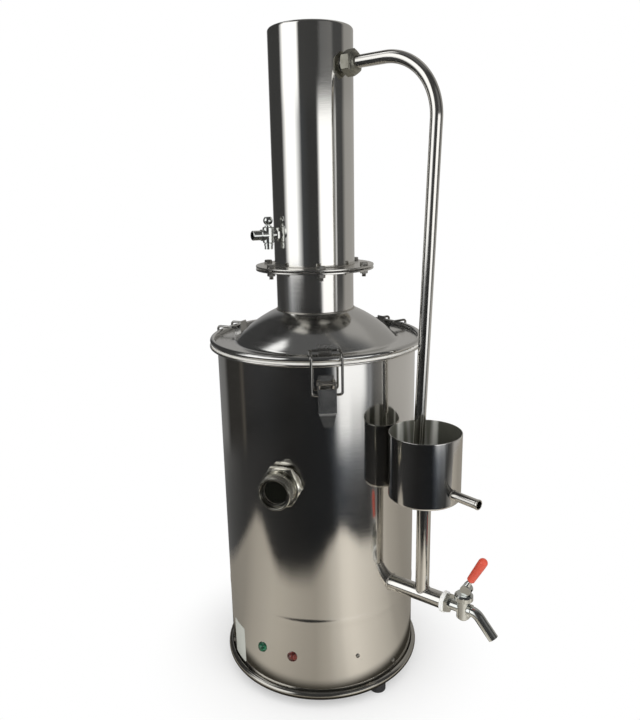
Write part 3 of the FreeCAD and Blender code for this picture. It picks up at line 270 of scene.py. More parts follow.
def floor_material():
    """Mirror rays see the beige patch, with a painted contact shadow between the feet, and
    pass through the floor past its edge; all other rays see white, by its own light beyond the shadow's
    reach."""
    made = bpy.data.materials.new("floor")
    made.use_nodes = True
    tree = made.node_tree
    tree.nodes.clear()
    x, y, _ = axes(added(tree, "TexCoord").outputs["Object"])
    reach = from_centre(x, y)
    bearing = bearing_of(x, y)
    white = added(tree, "BsdfDiffuse", {"Color": (0.96, 0.96, 0.955, 1)}).outputs[0]
    lit = added(tree, "Emission", {"Color": (1, 1, 1, 1)}).outputs[0]
    shown = mixed_shader(spread(blend_between(reach, *shadow_reach), 0.35, 1.0), white, lit)
    # Painted shadow: the mirrored patch turns nearly black within the feet's reach.
    tone = mixed_colour(blend_between(reach, *painted_contact_shadow_reach), (0.05, 0.045, 0.035),
                        round_the_room(bearing, patch_tone))
    beige = added(tree, "BsdfDiffuse", {"Color": tone}).outputs[0]
    beyond = calculate("SUBTRACT", reach, round_the_room(bearing, patch_edge))
    mirrored = mixed_shader(blend_between(beyond, -0.03, 0.05), beige,
                            added(tree, "BsdfTransparent").outputs[0])
    either = mixed_shader(added(tree, "LightPath").outputs["Is Glossy Ray"], shown, mirrored)
    added(tree, "OutputMaterial", {"Surface": either})
    return made


floor_mesh = bpy.data.meshes.new("floor")
corners = [(-floor_half, -floor_half, 0), (floor_half, -floor_half, 0), (floor_half, floor_half, 0),
           (-floor_half, floor_half, 0)]
floor_mesh.from_pydata(corners, [], [(0, 1, 2, 3)])
floor = bpy.data.objects.new("floor", floor_mesh)
floor_mesh.materials.append(floor_material())
bpy.context.scene.collection.objects.link(floor)


# -------------------- rubber feet
# Three buffers of black rubber, moulded on their studs, carry the distiller.
def unit(vectors):
    """Vectors drawn to length one."""
    return vectors / np.maximum(np.linalg.norm(vectors, axis=1, keepdims=True), 1e-9)


def rounded(corners, steps=5):
    """Closed outline through corners (r, h, fillet). Each corner becomes the arc of its
    fillet's radius that touches both sides, in steps points; a fillet of 0 stays sharp."""
    table = np.array([tuple(corner) + (0.0,) * (3 - len(corner)) for corner in corners], float)
    points, fillet = table[:, :2], table[:, 2:]
    back = unit(np.roll(points, 1, 0) - points)
    ahead = unit(np.roll(points, -1, 0) - points)
    half = np.arccos(np.clip((back * ahead).sum(1, keepdims=True), -0.999999, 0.999999)) / 2
    run = fillet / np.tan(half)
    centre = points + unit(back + ahead) * fillet / np.sin(half)
    start, end = points + back * run - centre, points + ahead * run - centre
    turn = (np.pi - 2 * half)[:, :, None]
    share = np.linspace(0, 1, steps)[None, :, None]
    arc = np.sin((1 - share) * turn) * start[:, None] + np.sin(share * turn) * end[:, None]
    line = (centre[:, None] + arc / np.sin(turn)).reshape(-1, 2)
    keep = np.linalg.norm(line - np.roll(line, 1, 0), axis=1) > 1e-5
    return line[keep]


def circle(turns):
    """The angles of one full turn in even steps."""
    return np.arange(turns) * 2 * np.pi / turns


def around(angle, r, h):
    """Points round the Z axis: (r cos a, r sin a, h)."""
    return np.stack([r * np.cos(angle), r * np.sin(angle), h + 0 * angle], -1)


def patches(rows, columns, close_rows=True, close_columns=True):
    """Four-sided faces of a grid of points, joined up at its ends where it closes."""
    row = np.arange(rows if close_rows else rows - 1)[:, None]
    column = np.arange(columns if close_columns else columns - 1)[None, :]
    next_row, next_column = (row + 1) % rows, (column + 1) % columns
    here = row * columns + column
    return np.stack([here, next_row * columns + column, next_row * columns + next_column,
                     row * columns + next_column], -1).reshape(-1, 4)


def held(outline):
    """The outline with two more points on each side over 8 mm, 0.6 mm from its ends, so
    that a straight wall is shaded evenly up to its rounded edges."""
    ahead = np.roll(outline, -1, 0) - outline
    length = np.linalg.norm(ahead, axis=1)
    is_long = length > 8
    step = ahead * (0.6 / np.maximum(length, 1))[:, None]
    rows = np.stack([outline, outline + step, outline + ahead - step], 1)
    return rows[np.stack([np.ones_like(is_long), is_long, is_long], 1)]


def lathe(outline, turns=96):
    """Closed surface of revolution: the outline's point (r, h) goes to (r cos a, r sin a, h)."""
    outline = held(outline)
    points = around(circle(turns), outline[:, :1], outline[:, 1:])
    return points.reshape(-1, 3), patches(len(outline), turns)


def moved(surface, x):
    """The surface carried out along X."""
    points, faces = surface
    return points + np.array([x, 0.0, 0.0]), faces


def lying(surface, z):
    """A surface made along Z laid down so that its axis points out along X, at height z."""
    points, faces = surface
    return points[:, [2, 0, 1]] + np.array([0.0, 0.0, z]), faces


def turned(points, degrees):
    """Points turned about Z: (x cos a - y sin a, x sin a + y cos a, z)."""
    c, s = math.cos(math.radians(degrees)), math.sin(math.radians(degrees))
    return points @ np.array([[c, s, 0], [-s, c, 0], [0, 0, 1]])


def facing(surface, azimuth):
    """A surface made with X pointing out of the boiler, turned to its azimuth."""
    points, faces = surface
    return turned(points, azimuth - 90), faces


def fitted(name, surfaces, finish, replaces=()):
    """One fixed piece from surfaces in millimetres: doubles merged, faces outwards, and
    edges over 35 degrees kept crisp. It stands for the CAD nodes that it replaces."""
    counts = np.cumsum([0] + [len(points) for points, faces in surfaces])
    points = np.concatenate([points for points, faces in surfaces]) / 1000
    faces = np.concatenate([faces + start for (_, faces), start in zip(surfaces, counts)])
    mesh = bpy.data.meshes.new(name)
    mesh.from_pydata(points.tolist(), [], faces.tolist())
    shape = bmesh.new()
    shape.from_mesh(mesh)
    bmesh.ops.remove_doubles(shape, verts=shape.verts, dist=1e-7)
    bmesh.ops.dissolve_degenerate(shape, edges=shape.edges, dist=1e-7)
    bmesh.ops.recalc_face_normals(shape, faces=shape.faces)
    shape.to_mesh(mesh)
    shape.free()
    mesh.shade_smooth()
    mesh.set_sharp_from_angle(angle=math.radians(35))
    mesh.materials.append(finish)
    made = bpy.data.objects.new(name, mesh)
    bpy.context.scene.collection.objects.link(made)
    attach(made, "distiller")
    if replaces:
        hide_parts(*replaces)


def surface_material(name, colour, roughness, metallic=0.0):
    """A Principled material with its Object coordinates ready for a pattern."""
    made = bpy.data.materials.new(name)
    made.use_nodes = True
    shader = made.node_tree.nodes["Principled BSDF"]
    fill(shader, {"Base Color": opaque(colour), "Roughness": roughness, "Metallic": metallic})
    return made, shader, added(shader, "TexCoord").outputs["Object"]


def cloudy(coordinates, scale, detail=3.0, stretch=(1, 1, 1)):
    """Soft noise, stretched along the axes, as a value from 0 to 1."""
    place = added(coordinates, "Mapping", {"Scale": stretch, 0: coordinates}).outputs[0]
    return added(coordinates, "TexNoise", {"Scale": scale, "Detail": detail, "Vector": place}).outputs["Fac"]


def raised(shader, *heights):
    """Bumps, each (value, height in metres), one over the other, into the shader."""
    under = {}
    for value, height in heights:
        bump = added(shader, "Bump", {"Strength": 1.0, "Distance": height, "Height": value} | under)
        under = {"Normal": bump.outputs[0]}
    fill(shader, under)


def mottled(name, colour, roughness, cloud, shades=None, gloss=None, bump=None, metallic=0.0, even=()):
    """A material that one soft noise, cloud (scale, detail), carries from the first shade
    to the second and from the first roughness of its gloss to the second. Its bump is
    (scale, detail, height in metres), and even holds the sockets that don't vary."""
    made, shader, here = surface_material(name, colour, roughness, metallic)
    noise = cloudy(here, *cloud)
    if shades:
        fill(shader, {"Base Color": mixed_colour(noise, *shades)})
    if gloss:
        fill(shader, {"Roughness": spread(noise, *gloss)})
    if bump:
        raised(shader, (cloudy(here, *bump[:2]), bump[2]))
    fill(shader, dict(even))
    return made


rubber = mottled("black_rubber", (0.03, 0.03, 0.032), 0.6, (60, 3),
                 ((0.02, 0.02, 0.022), (0.05, 0.0488, 0.0472)), (0.45, 0.75), (900, 3, 0.00005))
foot_azimuths = (37, 157, 277)
foot_circle = 112.5
foot_outline = rounded([(0, 0), (10.0, 0, 0.4), (10.0, 3.2, 0.2), (9.4, 3.6, 0.2), (9.4, 4.6, 0.2),
                        (10.0, 5.0, 0.2), (10.0, 10.5, 0.6), (8.5, 11.9, 0.3), (3.5, 11.9), (3.5, 13.9),
                        (0, 13.9)])
feet = [facing(moved(lathe(foot_outline, 64), foot_circle), azimuth) for azimuth in foot_azimuths]
fitted("foot_buffers", feet, rubber, ["rubber_feet"])


# -------------------- base ring and bottom cover
# A polished hoop, rolled from half-round bar, carries the shell; a pressed pan, held by
# three screws, closes the wiring space from below.
def rings(coordinates, scale):
    """Noise by the distance from the Z axis alone, as a tool leaves on a turned sheet."""
    x, y, _ = axes(coordinates)
    inputs = {"Scale": scale, "Detail": 4.0, "W": from_centre(x, y)}
    return added(coordinates, "TexNoise", inputs, noise_dimensions="1D").outputs["Fac"]


def toned(colour, factors):
    """A colour with each channel multiplied by its own factor."""
    return tuple(channel * factor for channel, factor in zip(colour, factors))


def steel_material(name, colour, roughness, waviness=0.0, grain=(1, 1, 1), grain_scale=0.0, marks=0.0,
                   spun=0.0):
    """Stainless steel: smudged gloss, rolling waves in metres, a grain of fine scratches
    that runs across the axis with the largest factor, a few darker handling marks, and
    the rings of a spun sheet at a scale per metre."""
    made, shader, here = surface_material(name, colour, roughness, 1.0)
    gloss = spread(cloudy(here, 22, 5), roughness * 0.55, roughness * 1.5)
    heights = []
    if waviness:
        heights.append((cloudy(here, 7, 1), waviness))
    if grain_scale:
        scratch = cloudy(here, grain_scale, 4, grain)
        gloss = calculate("ADD", gloss, spread(scratch, -0.04, 0.07))
        heights.append((scratch, 0.000006))
    if spun:
        ring = rings(here, spun)
        gloss = calculate("ADD", gloss, spread(ring, -0.05, 0.08))
        heights.append((ring, 0.00001))
    tarnish = spread(cloudy(here, 9, 4), 0.0, 0.35)
    shade = mixed_colour(tarnish, colour, toned(colour, (0.90, 0.87, 0.81)))
    if marks:
        speck = blend_between(cloudy(here, 60, 2), 0.76, 0.82)
        shade = mixed_colour(calculate("MULTIPLY", speck, marks), shade, (0.16, 0.15, 0.13))
        gloss = calculate("MULTIPLY_ADD", speck, 0.25, gloss)
    fill(shader, {"Base Color": shade, "Roughness": gloss})
    raised(shader, *heights)
    return made


def finished(material, *names):
    """CAD nodes that keep their own shape get a material."""
    for name in names:
        node[name].data.materials[0] = material


hoop_steel = steel_material("hoop_steel", (0.44, 0.43, 0.40), 0.12, 0.0006, (1, 1, 40), 60)
satin_steel = steel_material("satin_steel", (0.60, 0.595, 0.58), 0.27, 0.0, (40, 40, 1), 40)
hoop_low, hoop_high, hoop_inside = 12, 22, 116.8
half_round = np.linspace(-math.pi / 2, math.pi / 2, 22)
hoop_outline = np.concatenate([
    np.stack([121.4 + 4.8 * np.cos(half_round), 17 + 5 * np.sin(half_round)], -1),
    rounded([(120.9, hoop_high, 0.3), (120.1, 20.8, 0.3), (120.1, 14), (hoop_inside, 14),
             (hoop_inside, hoop_low)], 8)])
fitted("hoop", [lathe(hoop_outline, 256)], hoop_steel, ["base_ring"])
finished(satin_steel, "bottom_cover", "foot_studs")


# -------------------- boiler shell
# Stainless sheet, rolled to a cylinder with one upright seam at the back, beaded where
# the false bottom sits and flanged out at the top to meet the lid.
bright_steel = (0.70, 0.69, 0.665)
boiler_steel = steel_material("boiler_steel", bright_steel, 0.085, 0.001, (1, 1, 30), 50, 0.3)
shell_radius, shell_inside = 120.0, 118.8
rim_low, rim_radius, rim_top = 425, 129, 427.5
bead_level, bead_half = 113.2, 8.5
sight_azimuth, sight_level = -19.5, 287.5
gland_azimuth, gland_level = 180.0, 57.0


def widened(points, factor):
    """Points carried out from the Z axis: x and y times the factor."""
    return points * np.stack([factor, factor, np.ones_like(factor)], -1)


def rolled_shell():
    """The wall's outline turned about Z. The bead is a cosine bump, 0.3 mm high behind
    and 0.8 mm in front, and the seam a narrow ridge at azimuth 180. Faces inside the
    sight port's boss and the cable gland are left out."""
    level = np.linspace(23, 412, 80)
    near_bead = bead_level + np.linspace(-9, 9, 37)
    level = np.sort(np.concatenate([level[np.abs(level - bead_level) > 10], near_bead]))
    foot = rounded([(shell_inside, 14), (shell_radius, 14, 0.3), (shell_radius, 22)])[:-1]
    outer = np.stack([np.full_like(level, shell_radius), level], -1)
    rim = rounded([(shell_inside, 414), (shell_radius, 414), (shell_radius, rim_low, 2.2),
                   (rim_radius, rim_low, 1.1), (rim_radius, rim_top, 1.1), (119.6, rim_top, 0.8),
                   (shell_inside, 426)], 9)[2:]
    inner = np.stack([np.full(14, shell_inside), np.linspace(420, 20, 14)], -1)
    points, faces = lathe(np.concatenate([foot, outer, rim, inner]), 360)
    angle = np.degrees(np.arctan2(points[:, 0], -points[:, 1]))
    out = np.hypot(points[:, 0], points[:, 1])
    seam = 0.22 * np.exp(-((np.abs(angle) - 180) / 0.55) ** 2)
    bump = (1 + np.cos(np.pi * np.clip((points[:, 2] - bead_level) / bead_half, -1, 1))) / 2
    bead = (0.3 + 0.52 * np.exp(-((angle - 8) / 42) ** 2)) * bump
    points = widened(points, np.where(out > 119.5, 1 + (seam + bead) / out, 1.0))
    centre = points[faces].mean(1)
    holes = np.zeros(len(faces), bool)
    for azimuth, height, size in ((sight_azimuth, sight_level, 13.0), (gland_azimuth, gland_level, 7.0)):
        out_way = np.array([math.sin(math.radians(azimuth)), -math.cos(math.radians(azimuth))])
        beside = centre[:, 0] * out_way[1] - centre[:, 1] * out_way[0]
        holes |= (np.hypot(beside, centre[:, 2] - height) < size) & (centre[:, :2] @ out_way > 0)
    return points, faces[~holes]


fitted("rolled_shell", [rolled_shell()], boiler_steel, ["boiler_shell"])
finished(satin_steel, "boiler_floor")


# -------------------- case screws
# Four pan-head screws with cross recesses: three hold the cover, one the terminal block.
zinc = mottled("zinc_fasteners", (0.36, 0.35, 0.33), 0.32, (260, 4),
               ((0.25, 0.24, 0.22), (0.50, 0.49, 0.46)), (0.2, 0.5), (260, 4, 0.00004), metallic=1.0)
screw_places = ((47, 33.0), (167, 33.0), (287, 33.0), (20.4, 64.0))
screw_line = rounded([(0, 113.2), (1.2, 113.2), (1.4, 113.6), (1.4, 120.3), (0, 120.3)], 2)


def screw_head(radius, height):
    """A disc of rings whose height over the sheet follows a ball, less a cross-shaped
    recess that sinks where x or y is within a slot's half width."""
    turns = 72
    ring = np.concatenate([np.linspace(0, 0.62, 16), np.linspace(0.66, 1.0, 8)])[:, None] * radius
    crown = around(circle(turns), ring, height * (1 - 0.42 * (ring / radius) ** 2.4))
    x, y = np.abs(crown[..., 0]), np.abs(crown[..., 1])
    slot = np.minimum(x, y) / radius
    inside = np.maximum(x, y) < 0.55 * radius
    crown[..., 2] -= np.where(inside, 0.38 * height * np.clip((0.17 - slot) / 0.07, 0, 1), 0.0)
    skirt = crown[-1:] * np.array([1, 1, 0])
    points = np.concatenate([crown, skirt, skirt * np.array([0, 0, 1])])
    return points.reshape(-1, 3), patches(len(points), turns, close_rows=False)


screws = []
for azimuth, level in screw_places:
    screws += [facing(moved(lying(screw_head(2.4, 1.6), level), shell_radius), azimuth),
               facing(lying(lathe(screw_line, 24), level), azimuth)]
fitted("screws", screws, zinc, ["case_screws"])


# -------------------- label
# A bare foil label with rounded corners, glued to the skirt.
label_foil = mottled("label_foil", (0.45, 0.46, 0.42), 0.42, (30, 3),
                     ((0.38, 0.39, 0.35), (0.54, 0.55, 0.50)), bump=(400, 3, 0.00003))
label_low, label_high = 26.0, 74.0
label_from, label_to = -68.0, -54.0
label_corner = 2.5


def label_sheet():
    """A patch of the skirt's cylinder, 0.3 mm proud, with corners rounded by pulling in
    the sides near the top and bottom."""
    along = np.concatenate([[0, 0.004, 0.012, 0.03], np.linspace(0.06, 0.94, 20), [0.97, 0.988, 0.996, 1]])
    columns = 24
    height = label_high - label_low
    short = np.clip(label_corner - np.minimum(along, 1 - along) * height, 0, label_corner)
    inset = label_corner - np.sqrt(np.clip(label_corner ** 2 - short ** 2, 0, None))
    width = math.radians(label_to - label_from) * shell_radius
    across = np.linspace(-0.5, 0.5, columns)[None, :] * (width - 2 * inset[:, None])
    angle = math.radians((label_from + label_to) / 2 - 90) + across / shell_radius
    level = (label_low + along * height)[:, None]
    front, back = around(angle, 120.3, level), around(angle, 120.02, level)
    grid = np.arange(angle.size).reshape(angle.shape)
    faces = patches(len(along), columns, False, False)
    loop = np.concatenate([grid[0], grid[1:, -1], grid[-1, -2::-1], grid[-2:0:-1, 0]])
    edge = np.stack([loop, np.roll(loop, -1), np.roll(loop, -1) + grid.size, loop + grid.size], -1)
    points = np.concatenate([front.reshape(-1, 3), back.reshape(-1, 3)])
    return points, np.concatenate([faces, faces[:, ::-1] + grid.size, edge])


fitted("bare_label", [label_sheet()], label_foil, ["rating_plate"])


# -------------------- indicator lamps
# Moulded lenses, green for power and red for heating, each pushed through the skirt and
# held by a black nut behind it.
def lens_material(name, deep, bright):
    """Coloured plastic with streaks where the flutes gather the light."""
    made, shader, here = surface_material(name, bright, 0.12)
    painted_light_streak = blend_between(cloudy(here, 200, 2), 0.35, 0.65)
    fill(shader, {"Base Color": mixed_colour(painted_light_streak, deep, bright),
                  "Coat Weight": 0.6, "Coat Roughness": 0.05})
    raised(shader, (painted_light_streak, 0.0001))
    return made


lamp_level = 66.5
dome_radius, dome_foot = 5.5, 121.3
quarter = np.linspace(0.0, 1, 14) * np.pi / 2
lens_outline = np.concatenate([
    rounded([(0, 118.6), (6.2, 118.6), (6.2, 121.0, 0.4), (dome_radius, dome_foot, 0.2)])[:-1],
    np.stack([dome_radius * np.cos(quarter), dome_foot + 3.6 * np.sin(quarter)], -1)])


def lens():
    """The lens's dome, ribbed by ten flutes that fade towards its tip."""
    points, faces = lathe(lens_outline)
    angle = np.arctan2(points[:, 1], points[:, 0])
    out = np.hypot(points[:, 0], points[:, 1])
    rib = 1 - 0.075 * (1 + np.cos(10 * angle)) * (out / dome_radius)
    return widened(points, np.where(points[:, 2] > dome_foot - 0.05, rib, 1.0)), faces


for lens_slot, azimuth, deep, bright in (("green_lens", -37.5, (0.0, 0.035, 0.016), (0.008, 0.13, 0.06)),
                                         ("red_lens", -17.6, (0.04, 0.007, 0.006), (0.13, 0.022, 0.015))):
    lens_node = lens_slot.replace("_lens", "_lamp_lens")
    lens_plastic = lens_material(lens_slot, deep, bright)
    placed = facing(lying(lens(), lamp_level), azimuth)
    fitted(lens_node + "_ribbed", [placed], lens_plastic, [lens_node])
black_plastic = mottled("black_plastic", (0.03, 0.03, 0.033), 0.42, (500, 2),
                        ((0.018, 0.018, 0.02), (0.05, 0.05, 0.052)), bump=(500, 2, 0.00004))
finished(black_plastic, "lamp_bodies", "panel_nuts", "terminal_block", "cable_gland")


# -------------------- heater
# Copper-sheathed loops in brass fittings, closed in by the boiler and seen by no one.
copper = mottled("copper_sheath", (0.60, 0.38, 0.26), 0.3, (70, 4), ((0.42, 0.25, 0.17), (0.72, 0.49, 0.36)),
                 (0.2, 0.45), metallic=1.0)
finished(copper, "heating_elements")


# -------------------- sight window
# A threaded port welded to the shell, a hexagon nut, and a knurled cap that clamps the
# glass between two silicone rings. The glass is tinted nearly black, as painted shade of the dark boiler
# behind it.
def port_material():
    """The plated metal by its distance out of the boiler: a grey tube, the nut's face and
    the knurl's root bright, the knurl dark, and the cap's bright front ring."""
    made, shader, here = surface_material("port_metal", (0.74, 0.72, 0.66), 0.2, 1.0)
    stops = [(126.0, 0.36), (128.6, 0.8), (137.0, 0.75), (139.0, 0.12), (145.6, 0.15), (146.8, 0.6)]
    start, span = 120, 30
    x, y, _ = axes(here)
    turn = math.radians(sight_azimuth)
    out = calculate("MULTIPLY_ADD", x, math.sin(turn), calculate("MULTIPLY", y, -math.cos(turn)))
    share = calculate("MULTIPLY_ADD", out, 1000 / span, -start / span)
    plating = colour_ramp(share, [((reach - start) / span, toned((light,) * 3, (1, 0.98, 0.88)))
                                  for reach, light in stops])
    tone = cloudy(here, 140, 4)
    grime = blend_between(tone, 0.3, 0.62)
    fill(shader, {"Base Color": mixed_colour(grime, (0.22, 0.21, 0.17), plating),
                  "Roughness": spread(tone, 0.32, 0.12)})
    raised(shader, (cloudy(here, 700, 2), 0.00003))
    return made


def thread(radius, pitch, low, high, core):
    """A screwed rod: its radius falls by a triangle wave of the height less the turn, so
    that the groove climbs one pitch a turn; a plain core closes it inside."""
    turns, rows_a_pitch = 64, 8
    rows = int((high - low) / pitch * rows_a_pitch) + 1
    level = np.linspace(low, high, rows)[:, None]
    angle = circle(turns)
    phase = (level / pitch - angle / (2 * np.pi)) % 1
    wave = 0.42 * pitch * (1 - np.abs(2 * phase - 1))
    fade = np.clip(np.minimum(level - low, high - level) / pitch, 0, 1)
    wall = around(angle, radius - wave * fade - 0.05, level)
    points = np.concatenate([around(angle, core, low)[None], wall, around(angle, core, high)[None]])
    return points.reshape(-1, 3), patches(rows + 2, turns)


def hexagon(flats, low, high, bore=0.0, chamfer=0.6, turn=0.0):
    """A hexagon on Z: the wall's radius is the half width over the cosine of the angle
    from the nearest flat, and its edges drop where they pass the chamfer's circle. Its
    first flat lies the turn before X."""
    angle = circle(72)
    wall = flats / 2 / np.cos((angle + turn + np.pi / 6) % (np.pi / 3) - np.pi / 6)
    ring = flats / 2 - 0.1
    drop = chamfer * (wall - ring) / (flats / 2 / math.cos(math.pi / 6) - ring)
    rows = [(bore, low), (ring, low), (wall, low + drop * 0.3), (wall, high - drop), (ring, high),
            (bore, high)]
    points = np.concatenate([around(angle, r, h) for r, h in rows])
    return points, patches(len(rows), len(angle))


def across_line(angle, lift, side):
    """Unit circles square to a line, one at each of its points: lift cos a + side sin a."""
    angle = angle[None, :, None]
    return np.cos(angle) * lift[:, None] + np.sin(angle) * side[:, None]


def loop_tube(line, size):
    """A round bead along a closed line, its section square to the line at each point."""
    ahead = unit(np.roll(line, -1, 0) - np.roll(line, 1, 0))
    side = unit(np.cross(ahead, line - line.mean(0)))
    section = across_line(circle(12), np.cross(side, ahead), side)
    points = line[:, None] + size[:, None, None] * section
    return points.reshape(-1, 3), patches(len(line), 12)


def weld_bead(radius, wall_radius, size, level, axis=(0.0, 0.0)):
    """A bead round a lying tube that meets a round wall: its centre line lies where the
    tube's circle cuts the wall's cylinder, and it ripples as the welder moved on."""
    a = circle(180)
    y, z = radius * np.cos(a), radius * np.sin(a)
    line = np.stack([axis[0] + np.sqrt(wall_radius ** 2 - (y - axis[1]) ** 2), y, level + z], -1)
    return loop_tube(line, size * (1 + 0.12 * np.sin(46 * a)))


def knurled(surface, low, high):
    """The surface with 44 straight ribs: between two heights its outer wall rises and
    falls as a cosine round the axis."""
    points, faces = surface
    angle = np.arctan2(points[:, 1], points[:, 0])
    out = np.hypot(points[:, 0], points[:, 1])
    inside = np.clip(np.minimum(points[:, 2] - low, high - points[:, 2]) / 0.5, 0, 1) * (out > 18.5)
    groove = 0.6 * (1 + np.cos(44 * angle)) / 2
    return widened(points, 1 - inside * groove / np.maximum(out, 1)), faces


def at_sight(surface):
    """A surface made along Z laid on the sight port's axis."""
    return facing(lying(surface, sight_level), sight_azimuth)


port_metal = port_material()
weld_metal = steel_material("weld_metal", (0.55, 0.53, 0.49), 0.3)
port_bore, port_end, port_back = 11.5, 135, 113
thread_radius, nut_bore = 15.0, 15.05
boss_radius, boss_front = 20, 122.9
nut_flats, nut_back, nut_front = 44.0, 123.05, 131
cap_radius, cap_rim, cap_back, cap_front = 19.0, 18.3, 131.3, 148
boss_line = rounded([(port_bore, port_back), (15, port_back, 0.2), (15, 116), (boss_radius, 116),
                     (boss_radius, boss_front, 0.8), (port_bore, boss_front)])
tube_line = rounded([(port_bore, 122), (14.6, 122), (14.6, port_end, 0.3), (port_bore, port_end, 0.3)])
port = [lathe(boss_line, 128), lathe(tube_line), thread(thread_radius, 1.5, 123, port_end - 0.4, 14.0)]
fitted("port", [at_sight(surface) for surface in port], port_metal, ["sight_port"])
port_weld = facing(weld_bead(boss_radius + 0.2, shell_radius, 0.9, sight_level), sight_azimuth)
fitted("port_weld", [port_weld], weld_metal)
port_nut = hexagon(nut_flats, nut_back, nut_front, nut_bore, 3.2, math.pi / 6)
fitted("port_nut", [at_sight(port_nut)], port_metal, ["sight_lock_nut"])
cap_wall = [(cap_radius, level) for level in np.linspace(cap_back + 1, cap_front - 1, 36)]
cap_inside = [(cap_rim, cap_front, 0.3), (16.5, cap_front, 0.4), (16.5, 144, 0.3), (13.8, 144, 0.4),
              (13.8, 142), (nut_bore, 142)]
cap_outline = rounded([(nut_bore, cap_back), (cap_rim, cap_back, 0.3)] + cap_wall + cap_inside)
port_cap = knurled(lathe(cap_outline, 432), 134.5, 146.0)
fitted("port_cap", [at_sight(port_cap)], port_metal, ["sight_cap"])


def silicone(name, stained, clean):
    """Moulded silicone, a little see-through, with stains from the water."""
    return mottled(name, clean, 0.5, (50, 4), (stained, clean), bump=(500, 3, 0.00004),
                   even={"Subsurface Weight": 0.15, "Subsurface Radius": (0.002, 0.0018, 0.0015)})


finished(silicone("grey_silicone", (0.07, 0.065, 0.05), (0.13, 0.125, 0.11)), "sight_gaskets")
finished(silicone("white_silicone", (0.70, 0.68, 0.63), (0.84, 0.83, 0.80)), "lid_gasket", "flange_gasket")
# Painted shade: the glass's colour is nearly black, so the window shows dark.
window_glass = mottled("window_glass", (0.014, 0.015, 0.011), 0.06, (90, 4), gloss=(0.03, 0.16),
                       even={"Transmission Weight": 0.55, "IOR": 1.5})
glass_radius, glass_back, glass_front = 14.8, 136.5, 140.5
glass_outline = rounded([(0, glass_back), (glass_radius, glass_back, 0.3), (glass_radius, glass_front, 0.3),
                         (0, glass_front)])
fitted("window", [at_sight(lathe(glass_outline))], window_glass, ["sight_glass"])


# -------------------- drain pipe and standpipe
# Plain stainless tubes, the drain welded into the boiler's wall and the standpipe on
# top of it.
tube_steel = steel_material("tube_steel", (0.70, 0.69, 0.66), 0.11, 0.0, (1, 1, 1), 120)
feed_azimuth, drain_swing = 47.0, 6.0
drain_level, drain_radius, drain_bore = 145.0, 9.3, 7.7
drain_start, drain_end = 115.1, 187.5
stand_radius, stand_bore = 8.0, 7.0
cup_axis = 161.0
cup_low, cup_high, cup_radius = 269.0, 345.0, 40.5


def swung(surface, degrees):
    """A surface of the feed group turned about the standpipe, then carried to its azimuth."""
    points, faces = surface
    standing = np.array([cup_axis, 0, 0])
    return facing((turned(points - standing, degrees) + standing, faces), feed_azimuth)


def hollow(outer, inner, low, high, chamfer=0.4, turns=72):
    """A tube on Z with its four edges rounded."""
    wall = [(inner, low, 0.2), (outer, low, chamfer), (outer, high, chamfer), (inner, high, 0.2)]
    return lathe(rounded(wall), turns)


def crossing_bead(radius, pipe_radius, axis_x, level, size):
    """A bead where an upright tube stands on a lying pipe: the circle is lifted on to
    the pipe's round."""
    a = circle(120)
    line = around(a, radius, level + np.sqrt(pipe_radius ** 2 - (radius * np.sin(a)) ** 2))
    return moved(loop_tube(line, size * (1 + 0.12 * np.sin(31 * a))), axis_x)


drain = lying(hollow(drain_radius, drain_bore, drain_start, drain_end), drain_level)
standpipe = moved(hollow(stand_radius, stand_bore, drain_level + 4.7, cup_low + 2), cup_axis)
fitted("drain", [swung(drain, drain_swing)], tube_steel, ["drain_pipe"])
fitted("riser", [facing(standpipe, feed_azimuth)], tube_steel, ["standpipe"])
# The weld follows the boiler's axis as it lies for the drain before its swing.
askew = math.radians(drain_swing)
boiler_axis = (cup_axis * (1 - math.cos(askew)), cup_axis * math.sin(askew))
beads = [weld_bead(drain_radius + 0.3, shell_radius, 0.9, drain_level, boiler_axis),
         crossing_bead(stand_radius + 0.2, drain_radius, cup_axis, drain_level, 0.8)]
fitted("pipe_welds", [swung(bead, drain_swing) for bead in beads], weld_metal)


# -------------------- feed cup
# A thin polished cup with a smoothed lip, on the standpipe's mouth; the overflow nozzle
# low on its side sets the water's level.
def cup_material():
    """The bright outside; the inside, where the distance from the cup's axis is under
    40 mm, has a coarser finish with painted reflections in upright pale and dark streaks
    on its wall, and an even painted shade on its floor."""
    made, shader, here = surface_material("cup_steel_painted_inside", bright_steel, 0.07, 1.0)
    turn = math.radians(feed_azimuth)
    x, y, level = axes(here)
    x = calculate("ADD", x, -cup_axis / 1000 * math.sin(turn))
    y = calculate("ADD", y, cup_axis / 1000 * math.cos(turn))
    outside = blend_between(from_centre(x, y), 0.0396, 0.0401)
    wall = blend_between(level, (cup_low + 2) / 1000, (cup_low + 9) / 1000)
    # Painted reflections and shade: pale and dark upright streaks on the inner wall, an even darker tone on
    # the floor.
    painted_light_streak = blend_between(cloudy(here, 42, 2, (1, 1, 0.06)), 0.5, 0.62)
    painted_light_streak = calculate("MULTIPLY_ADD", painted_light_streak, wall, calculate("MULTIPLY_ADD", wall, -0.3, 0.3))
    inner = mixed_colour(painted_light_streak, (0.15, 0.15, 0.125), (0.95, 0.95, 0.89))
    smudge = cloudy(here, 60, 4)
    coarse, fine = spread(smudge, 0.3, 0.45), spread(smudge, 0.05, 0.11)
    finer = calculate("SUBTRACT", fine, coarse)
    fill(shader, {"Base Color": mixed_colour(outside, inner, bright_steel),
                  "Roughness": calculate("MULTIPLY_ADD", outside, finer, coarse),
                  "Metallic": spread(outside, 0.4, 1.0)})
    raised(shader, (cloudy(here, 7, 1), 0.0001))
    return made


def ring_bead(radius, level, size, ripples, turns=240):
    """A bead on a level circle about Z, its thickness rising and falling by a tenth."""
    a = circle(turns)
    return loop_tube(around(a, radius, level), size * (1 + 0.1 * np.sin(ripples * a)))


